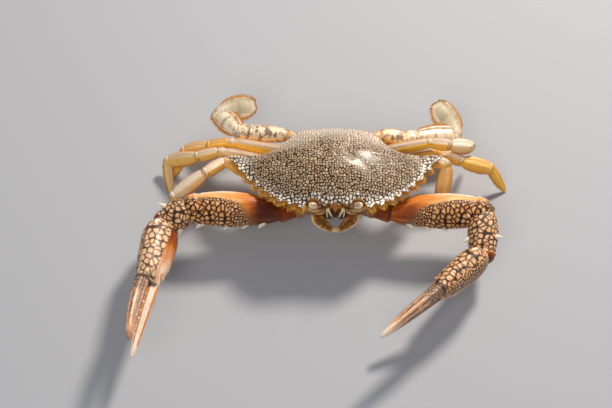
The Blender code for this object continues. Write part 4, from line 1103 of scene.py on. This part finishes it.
def build_palm(name, palm, upward, root, tip):
    """The palm and its fixed finger, which starts at root, in one skin."""
    right = name.endswith("right")
    # The toothed ridge that parts the netted face from the smooth inner one.
    border = 98.0 - 26.0 * palm.t if right else 64.0 + 0.0 * palm.t
    gap = angle_gap(palm.turn, border)
    beads = 0.6 + 0.4 * np.sin(2.0 * math.pi * palm.t * palm.length / 1.7)
    palm.rise = palm.rise + 0.7 * bell(gap, 5.0) * beads * ease(palm.t, 0.04, 0.12)
    palm.ridges(RIDGES["palm"])
    palm.lip(0.0)
    keep = palm.place < 0.999
    gap, t, turn = gap[keep], palm.t[keep], palm.turn
    c = np.cos(np.radians(turn))

    def finger(places):
        return finger_rings(places, turn[0], root, tip, palm.across, palm.through, *FIXED_FINGER)

    # The lower edge runs smoothly on into the finger, the upper one steps down.
    share = ease(t, 0.885 + 0.085 * c - 0.09 * (1.0 - c), 1.02)[..., None]
    bridge = finger((t[:, 0] - 1.0) * palm.length / np.linalg.norm(tip - root))
    beyond = np.linspace(0.012, 0.985, 60)
    rings = np.concatenate([palm.rings()[keep] * (1.0 - share) + bridge * share, finger(beyond)])
    up = palm.facing((0, 0, 1))[keep]
    collar = ease(-t, -0.1, -0.04)
    over = ease(-gap, -4.0, 4.0)
    if right:
        over = over * ease(turn, 0.0, 1.0)
    beneath = np.where(turn > 270.0, 1.0, 0.0)
    net = np.maximum(np.where(turn <= 180.0, over, 0.0), beneath)
    net = net * ease(up, -0.45, -0.2) * ease(-t, -0.99, -0.95) * (1.0 - collar)
    cream = np.maximum(0.8 * (1.0 - net) * ease(t, 0.35, 0.95), 0.6 * ease(-up, 0.1, 0.5))
    palm_marks = {
        "net": net,
        "warmth": 0.72 - 0.4 * ease(t, 0.2, 0.9),
        "pale": np.maximum(cream * (1.0 - 0.6 * bell(gap - 9.0, 5.0)), 0.9 * collar * ease(t, -0.02, 0.02)),
        "light": 0.6 if right else 0.25,
        # Soft dark skin shows at the wrist and round the free finger's hinge.
        "dark": np.maximum(palm.joints()[keep], 0.9 * ease(t, 0.975, 0.995) * (c > -0.15)),
        "dusk": 0.0,
        # The tiles are coarse, but fine on the left palm's outer side.
        "fine": -1.0 + (0.0 if right else 2.0) * ease(-turn, -344.0, -330.0) * beneath,
    }
    marks = finger_marks(beyond, turn[0], 0.0, "ivory" if right else "worn")
    marks["dark"] = 0.9 * ease(-beyond[:, None], -0.06, -0.02) * (c > 0.2)
    cols = len(turn[0])
    joined = {
        mark: np.concatenate([
            np.broadcast_to(values, net.shape),
            np.broadcast_to(marks.get(mark, 0.0), (len(beyond), cols))])
        for mark, values in palm_marks.items()}
    surface = Surface()
    surface.add_rings(rings, None, tip, **joined)
    palm.spines(surface, name + "_propodus")
    finger_teeth(surface, root, tip, upward, FIXED_FINGER[0], FIXED_FINGER[2], 1.0)
    surface.piece(name + "_propodus_shell", CLAW, name + "_propodus")


def build_free_finger(name, palm, upward, root, tip):
    """The free finger, with a domed hinge end at root."""
    turn = palm.turn[0]
    places = np.concatenate([-0.06 + 0.06 * (1.0 - CAP), np.linspace(0.012, 0.985, 64)])
    t = places[:, None]
    rings = finger_rings(places, turn, root, tip, palm.across, palm.through, *FREE_FINGER)
    shrink = np.concatenate([np.sqrt(1.0 - CAP ** 2), np.ones(64)])[:, None, None]
    rings = rings.mean(1, keepdims=True) * (1.0 - shrink) + rings * shrink
    marks = finger_marks(places, turn, 180.0, "mottled" if name.endswith("right") else "worn")
    marks["dark"] = 0.85 * ease(-t, -0.05, -0.02)
    marks["net"] = 0.9 * ease(-t, -0.4, -0.12) * ease(np.cos(np.radians(turn)), -0.35, 0.1)
    surface = Surface()
    surface.add_rings(rings, None, tip, fine=1.0, light=0.6, **marks)
    finger_teeth(surface, root, tip, upward, FREE_FINGER[0], FREE_FINGER[2], -1.0)
    surface.piece(name + "_dactylus_shell", CLAW, name + "_dactylus")


def build_leg(name):
    """A walking or swimming leg in four pieces, and its setae."""
    points = limb_points(name)
    swim = name.startswith("swim")
    forms = ("swim_merus", "swim_carpus", "swim_propodus", "paddle") if swim else LEG_WORDS
    tufts = []
    for k, (word, form) in enumerate(zip(LEG_WORDS, forms)):
        plate = form in ("swim_propodus", "paddle")
        caps = (0.9, 0.6) if k < 3 else (0.8, 0.45 if swim else 0.9)
        face = SWIM_FACE if swim else LEG_FACES[k]
        part = Segment(points[k], points[k + 1], face, form, 56, 56, 2.2, caps)
        part.ridges(RIDGES["plate" if plate else "swim" if swim else "leg"])
        t, across = part.t, np.abs(part.c)
        if k < 3:
            part.lip(0.32)
        if form == "paddle":
            # The paddle ends in a half round blade, thinner towards its rim.
            blunt = np.sqrt(np.clip(1.0 - (np.maximum(t - 0.6, 0.0) / 0.468) ** 2, 0.0, 1.0))
            part.width = np.where(t > 0.6, 7.2 * blunt, part.width)
            part.shrink = np.where(t > 0.6, 0.3 + 0.7 * blunt, part.shrink)
            part.width = np.where(t > 0.6, part.width / part.shrink, part.width)
            part.rise = part.rise * blunt
        rings = part.rings()
        if form == "dactylus":
            # No foot goes through the floor.
            rings[..., 2] = np.maximum(rings[..., 2], 0.0)
        # Rust lies along the front edge and the seams. Cream lies on the face turned up and to the rear,
        # where the key lamp is, partly the leg's own tone and partly painted light.
        heat, cream = LEG_TONES[name][k]
        marks = {"dark": part.joints() * 0.4}
        seam = across ** (6 if plate else 8) * np.ones_like(t)
        if plate:
            line = 0.7 * bell(across - 0.72, 0.07) * (k == 2)
            marks["edge"] = np.maximum(np.maximum(seam, line), 0.9 * ease(t, 1.0, 1.05) * (k == 3))
            marks["core"] = (1.0 - across ** 2) * bell(t - 0.6, 0.3) * (k == 3)
            marks["blotch"] = 0.9 if k == 2 else 0.4
        else:
            front = 0.8 * part.near(180.0, 34.0)
            root = 0.85 * bell(t - 0.03, 0.05) * (form == "swim_merus")
            marks["edge"] = np.maximum(np.maximum(front, 0.6 * seam), root)
            marks["pale"] = cream * ease(part.facing((0.1, 0.5, 0.85)), 0.05, 0.6)
            marks["warmth"] = heat
            marks["blotch"] = 0.85 if swim else 0.1
        surface = Surface()
        surface.add_rings(rings, **marks)
        material, slot = PADDLE if plate else LEG, "paddle" if swim else "leg"
        surface.piece(f"{name}_{word}_shell", material, f"{name}_{word}")
        seed = len(name) * 10 + k
        for extra, row in enumerate(FRINGES.get(form, FRINGES["other"])):
            tufts.append(fringe_along(part, *row, seed + extra))
    grow(name + "_setae", *(np.concatenate(rows) for rows in zip(*tufts)), LIMB_BRISTLE)


def tube(surface, path, radii, cols, squash=None, rings=0.0, **marks):
    """A round limb through points, smooth in path and radius; gives its rows' places."""
    path = np.array(path, float)
    reach = lengths_along(path)
    places = np.linspace(0.0, reach[-1], max(24, int(reach[-1] / 0.25)))
    middle = flow(np.column_stack([reach, path]), places)
    size = flow(np.column_stack([reach, radii]), places)[:, 0]
    if rings:
        size = size * (1.0 + 0.1 * np.sin(2.0 * math.pi * places / rings))
    ahead = np.gradient(middle, axis=0)
    ahead /= np.linalg.norm(ahead, axis=1, keepdims=True)
    across = unit(np.cross(ahead[0], (0.31, 0.2, 0.93)))
    made = []
    turn = full_turn(cols)
    for centre, axis, radius in zip(middle, ahead, size):
        across = unit(across - axis * (across @ axis))
        ring = across * np.cos(turn)[:, None] + np.cross(axis, across) * np.sin(turn)[:, None]
        if squash:
            ring = ring - squash[0] * (ring @ squash[0])[:, None] * (1.0 - squash[1])
        made.append(centre + radius * ring)
    surface.add_rings(np.array(made), **marks)
    return places / reach[-1]


def flat_limb(surface, path, sizes, face_out):
    """A flattened limb of three segments through points, broad side one way."""
    path = np.array(path, float)
    reach = lengths_along(path)
    places = np.linspace(0.0, reach[-1], 64)
    t = (places / reach[-1])[:, None]
    middle = flow(np.column_stack([reach, path]), places)
    size = flow(np.column_stack([reach, np.array(sizes)]), places)
    joints = bell(t - 0.5, 0.015) + bell(t - 0.76, 0.015)
    size = size * (1.0 - 0.2 * joints)
    axis = np.gradient(middle, axis=0)
    across = np.cross(axis, face_out)
    across /= np.linalg.norm(across, axis=1, keepdims=True)
    through = np.cross(across, axis)
    through /= np.linalg.norm(through, axis=1, keepdims=True)
    turn = full_turn(40)
    c, s = np.cos(turn)[None, :], np.sin(turn)[None, :]
    keel = 1.0 - 0.22 * bell(np.abs(c) - 0.62, 0.16)
    rings = (
        middle[:, None] + across[:, None] * (size[:, :1] * c)[..., None]
        + through[:, None] * (size[:, 1:] * s * keel)[..., None])
    outer = c * np.sign(-across[:, None, 2])
    # The lower edge is cream, partly its own colour and partly a painted highlight. Painted shade darkens
    # the upper part of the plate towards its base, under the face; the joints are dark too.
    surface.add_rings(
        rings, pale=np.clip(0.95 * ease(outer, 0.6, 0.92) + 0.6 * ease(t, 0.84, 0.96), 0, 1),
        dark=np.clip(0.4 * joints + 0.7 * bell(outer + 0.2, 0.5) * ease(-t, -0.84, -0.7), 0, 1))


def steps_from(place, side, steps):
    """Standing points from a socket along steps, mirrored for the right side."""
    path = [mirrored(place, side)]
    for step in steps:
        path.append(path[-1] + mirrored(step, side))
    return body(np.array(path))


def build_eye(side, word):
    """An eye on its stalk, with a dark rim between the stalk and the pale cornea."""
    place, way, _ = SOCKETS["eye"]
    tip, axis = body(mirrored(place, side)), heading(mirrored(way, side))
    over = heading((0, -0.3, 0.95))
    reach, radii = zip(*EYE_STALK)
    surface = Surface()
    rows = tube(surface, [tip + axis * k for k in reach], radii, 32, (over, 0.7), dark=0.0, pale=0.0)
    skin = surface.points[0][:-2].reshape(len(rows), 32, 3)
    height = np.abs((skin - skin.mean(1, keepdims=True)) @ over)
    # Painted shade darkens the upper and lower faces of the stalk, and its foot in the socket.
    shade = 0.6 * ease(height / height.max(), 0.5, 0.95)
    rim = (0.55 * bell(rows - 0.36, 0.05) + 0.8 * ease(-rows, -0.12, 0.0))[:, None]
    cornea = np.repeat(0.8 * ease(rows, 0.4, 0.5), 32)
    surface.marks["dark"] = [(0, np.append(np.maximum(rim, shade).ravel(), (1, 0)))]
    surface.marks["pale"] = [(0, np.append(cornea, (0, 0.2)))]
    surface.piece("eye_" + word + "_globe", EYE, "eye_" + word)


def build_face():
    """Eyes, feelers and outer mouthparts, on both sides."""
    for side, word in SIDES:
        build_eye(side, word)
        surface = Surface()
        path = steps_from(SOCKETS["antenna"][0], side, ANTENNA_STEPS)
        tube(surface, path, (1.0, 0.8, 0.42, 0.3, 0.16), 14, rings=0.9, pale=0.35, dark=0.0)
        surface.piece("antenna_" + word + "_feeler", FACE, "antenna_" + word)
        surface = Surface()
        x, y, z = SOCKETS["antennule"][0]
        for out, down, steps, radii, marks in ANTENNULE_BRANCHES:
            tube(surface, steps_from((x + out, y, z - down), side, steps), radii, 14, **marks)
        surface.piece("antennule_" + word + "_feeler", FACE, "antennule_" + word)
        surface = Surface()
        path = steps_from(SOCKETS["maxilliped"][0], side, MAXILLIPED_STEPS)
        flat_limb(surface, path, MAXILLIPED_SIZES, heading((-side * 0.2, -0.9, 0.4)))
        surface.piece("maxilliped_" + word + "_plates", FACE, "maxilliped_" + word)


def build_underbody():
    """The underside: rings from the shell down to the breast, limb roots and sockets."""
    away, _, _, inner = shell_plan()
    levels = []
    for share in (0.3, 0.86):
        x, y = away[:, 0] * share * inner, SHELL_CENTRE_Y + away[:, 1] * share * inner
        levels.append(body(np.stack([x, y, brim(x, y) - SHELL_UNDERSIDE - GAP], -1)))
    turn = np.arctan2(away[:, 1], away[:, 0])
    c, s = np.cos(turn), np.sin(turn)
    c, s = np.sign(c) * np.abs(c) ** 0.85, np.sign(s) * np.abs(s) ** 0.85
    depth, *sizes = UNDER_RINGS[-1]
    closing = (depth - 0.4, *sizes, 0.4)
    for depth, width, front, rear, scale in (*((*ring, 1.0) for ring in UNDER_RINGS), closing):
        span = np.where(s > 0, rear - SHELL_CENTRE_Y, SHELL_CENTRE_Y - front)
        y = SHELL_CENTRE_Y + span * scale * s
        levels.append(body(np.stack([width * scale * c, y, np.full(len(c), depth)], -1)))
    rows = np.arange(len(levels), dtype=float)
    table = np.column_stack([rows, np.array(levels).reshape(len(levels), -1)])
    rings = flow(table, np.linspace(0.0, rows[-1], 40)).reshape(40, -1, 3)
    level = np.linspace(0.0, 1.0, 40)[:, None]
    x, y = np.abs(rings[..., 0]), rings[..., 1]
    # Painted shade darkens the recess of the mouth and the hollows under the orbits.
    mouth_shade = bell(x, 9.0) * ease(-y, 19.0, 24.0) * ease(level, 0.5, 0.62) * ease(-level, -0.92, -0.8)
    orbit_shade = bell(x - 12.0, 4.5) * ease(-y, 17.0, 21.0) * ease(level, 0.16, 0.3) * ease(-level, -0.56, -0.44)
    # Sutures part the plates of the breast, between the limbs.
    suture = np.zeros_like(x)
    for place in STERNUM_SUTURES:
        suture = np.maximum(suture, bell(y - place + 0.3 * x, 0.45))
    suture = suture * ease(level, 0.62, 0.72)
    surface = Surface()
    dark = np.maximum(np.maximum(mouth_shade, 0.85 * orbit_shade), 0.6 * suture)
    surface.add_rings(rings, dark=dark, pale=0.8 * ease(level, 0.6, 0.8))
    for name in LIMBS:
        add_limb_root(surface, name)
    for side, _ in SIDES:
        bar = body(np.array([mirrored(place, side) for place in LOWER_ORBIT]))
        tube(surface, bar, (0.9, 1.3, 1.4, 1.0), 20, pale=0.3, dark=0.0)
        # Each socket is ringed with dark soft skin; the eye's, deep in its orbit, is darker still with
        # painted shade.
        for key, (place, way, radius) in SOCKETS.items():
            tip, axis = body(mirrored(place, side)), heading(mirrored(way, side))
            tube(surface, [tip - axis * 4.5, tip - axis * 2.0, tip], (radius, radius * 1.05, radius), 16,
                 pale=0.1, dark=0.75 if key == "eye" else 0.3)
    # The two lids of the mouth field, between the maxillipeds. Their dark brown is painted shade of the
    # mouth's recess.
    for side, _ in SIDES:
        lid = body(np.array([mirrored(place, side) for place in MOUTH_LID]))
        tube(surface, lid, (2.6, 3.7, 3.4, 2.0), 28, (heading((0.0, -1.0, 0.0)), 0.6), pale=0.0, dark=0.8)
    surface.piece("underbody_shell", FACE, "underbody")


def add_limb_root(surface, name):
    """The stub of the body that a limb stands on."""
    base, first = limb_points(name)[:2]
    claw = name.startswith("claw")
    radius = 5.4 if claw else 3.5
    inner_end = base - unit(first - base) * 11.0
    if name.startswith("swim"):
        inner_end = np.array((base[0] * 0.45, 19.0, base[2] - 1.0))
    lead = unit(base - inner_end)
    path = [inner_end, inner_end + (base - inner_end) * 0.6, base - lead * 1.6, base + lead * 0.4]
    tube(surface, path, (radius, radius, radius * 1.05, radius * 0.9), 28,
         pale=0.1 if claw else 0.45, dark=0.35 if claw else 0.0)


def build_fringes():
    """Golden setae under the toothed margin, in three rows a side."""
    random = np.random.default_rng(11)
    edge = margin()
    for side, word in SIDES:
        pick = np.where((edge[:, 0] * side > 17.0) & (np.abs(edge[:, 0]) < 61.5) & (edge[:, 1] < 12.0))[0]
        roots, lie = [], []
        for row in range(3):
            for _ in range(270):
                k = random.choice(pick[1:-1])
                share = random.random()
                point = edge[k] * (1.0 - share) + edge[k + (1 if k + 1 in pick else -1)] * share
                away = unit((point[0], point[1] - SHELL_CENTRE_Y))
                x, y = point - away * (0.5 + 0.55 * row)
                roots.append(body((x, y, brim(x, y) - (0.8 + 0.35 * row))))
                way = (away[0] + random.normal(0, 0.16), away[1] + random.normal(0, 0.16))
                lie.append(heading((*way, random.uniform(-1.1, -0.35))))
        reach = random.uniform(2.2, 3.9, len(roots))
        tone = random.uniform(0.0, 1.0, len(roots))
        grow(f"margin_{word}_setae", np.array(roots), np.array(lie), reach, tone, MARGIN_BRISTLE)


def build_abdomen():
    """The folded tail under the breast, each ring a little arched."""
    top = UNDER_RINGS[-1][0] - GAP
    turn = full_turn(48)
    rings = []
    for (rear, wide), (front, narrow) in zip(ABDOMEN, ABDOMEN[1:]):
        for place in np.linspace(0.0, 0.98, 9):
            y = rear + (front - rear) * place
            width = wide + (narrow - wide) * place
            depth = 1.5 + 0.9 * math.sin(math.pi * min(1.0, place * 1.05)) ** 0.5
            z = top - depth * np.maximum(0.0, -np.sin(turn)) ** 0.7
            rings.append(body(np.stack([width * np.cos(turn), np.full(48, y), z], -1)))
    surface = Surface()
    joint = np.tile(0.7 * bell(np.linspace(0.0, 1.0, 9), 0.09), len(ABDOMEN) - 1)[:, None]
    surface.add_rings(np.array(rings), dark=joint, pale=0.3)
    surface.piece("abdomen_plates", PALE, "abdomen")


build_carapace()
build_underbody()
build_abdomen()
build_face()
build_fringes()
for claw in ("claw_left", "claw_right"):
    build_claw(claw)
for limb in LIMBS:
    if not limb.startswith("claw"):
        build_leg(limb)


def build_stage():
    """A pale floor, a soft room, and a key and a fill lamp."""
    bpy.ops.mesh.primitive_plane_add(size=6.0, location=(0.0, 0.0, -0.0002))
    floor = bpy.context.object
    floor.name = "floor"
    material, _, shader, _ = start_material("pale_floor")
    shader.inputs["Base Color"].default_value = colour("#b4b7be")
    shader.inputs["Roughness"].default_value = 0.9
    floor.data.materials.append(material)
    world = bpy.data.worlds.new("soft_room")
    bpy.context.scene.world = world
    world.use_nodes = True
    background = world.node_tree.nodes["Background"]
    background.inputs["Color"].default_value = colour("#dfe6f2")
    background.inputs["Strength"].default_value = 0.23
    for name, towards, distance, size, power, tint in LAMPS:
        lamp = bpy.data.lights.new(name, "AREA")
        lamp.shape = "DISK"
        lamp.size = size
        lamp.energy = power
        lamp.color = colour(tint)[:3]
        holder = bpy.data.objects.new(name, lamp)
        holder.visible_glossy = name == "key"
        bpy.context.scene.collection.objects.link(holder)
        way = Vector(towards).normalized()
        holder.location = way * distance
        holder.rotation_euler = way.to_track_quat("Z", "Y").to_euler()


def build_camera():
    """The camera at the photo's angle."""
    data = bpy.data.cameras.new("camera")
    data.lens = CAMERA_LENS
    data.sensor_width = 36.0
    data.clip_start = 0.01
    camera = bpy.data.objects.new("camera", data)
    bpy.context.scene.collection.objects.link(camera)
    camera.location = (np.array(CAMERA_PLACE) - FLOOR_CENTRE) * MM
    camera.rotation_euler = (math.pi / 2.0 - CAMERA_DOWN, 0.0, 0.0)
    bpy.context.scene.camera = camera


build_stage()
build_camera()
bpy.context.scene.view_settings.view_transform = "Standard"
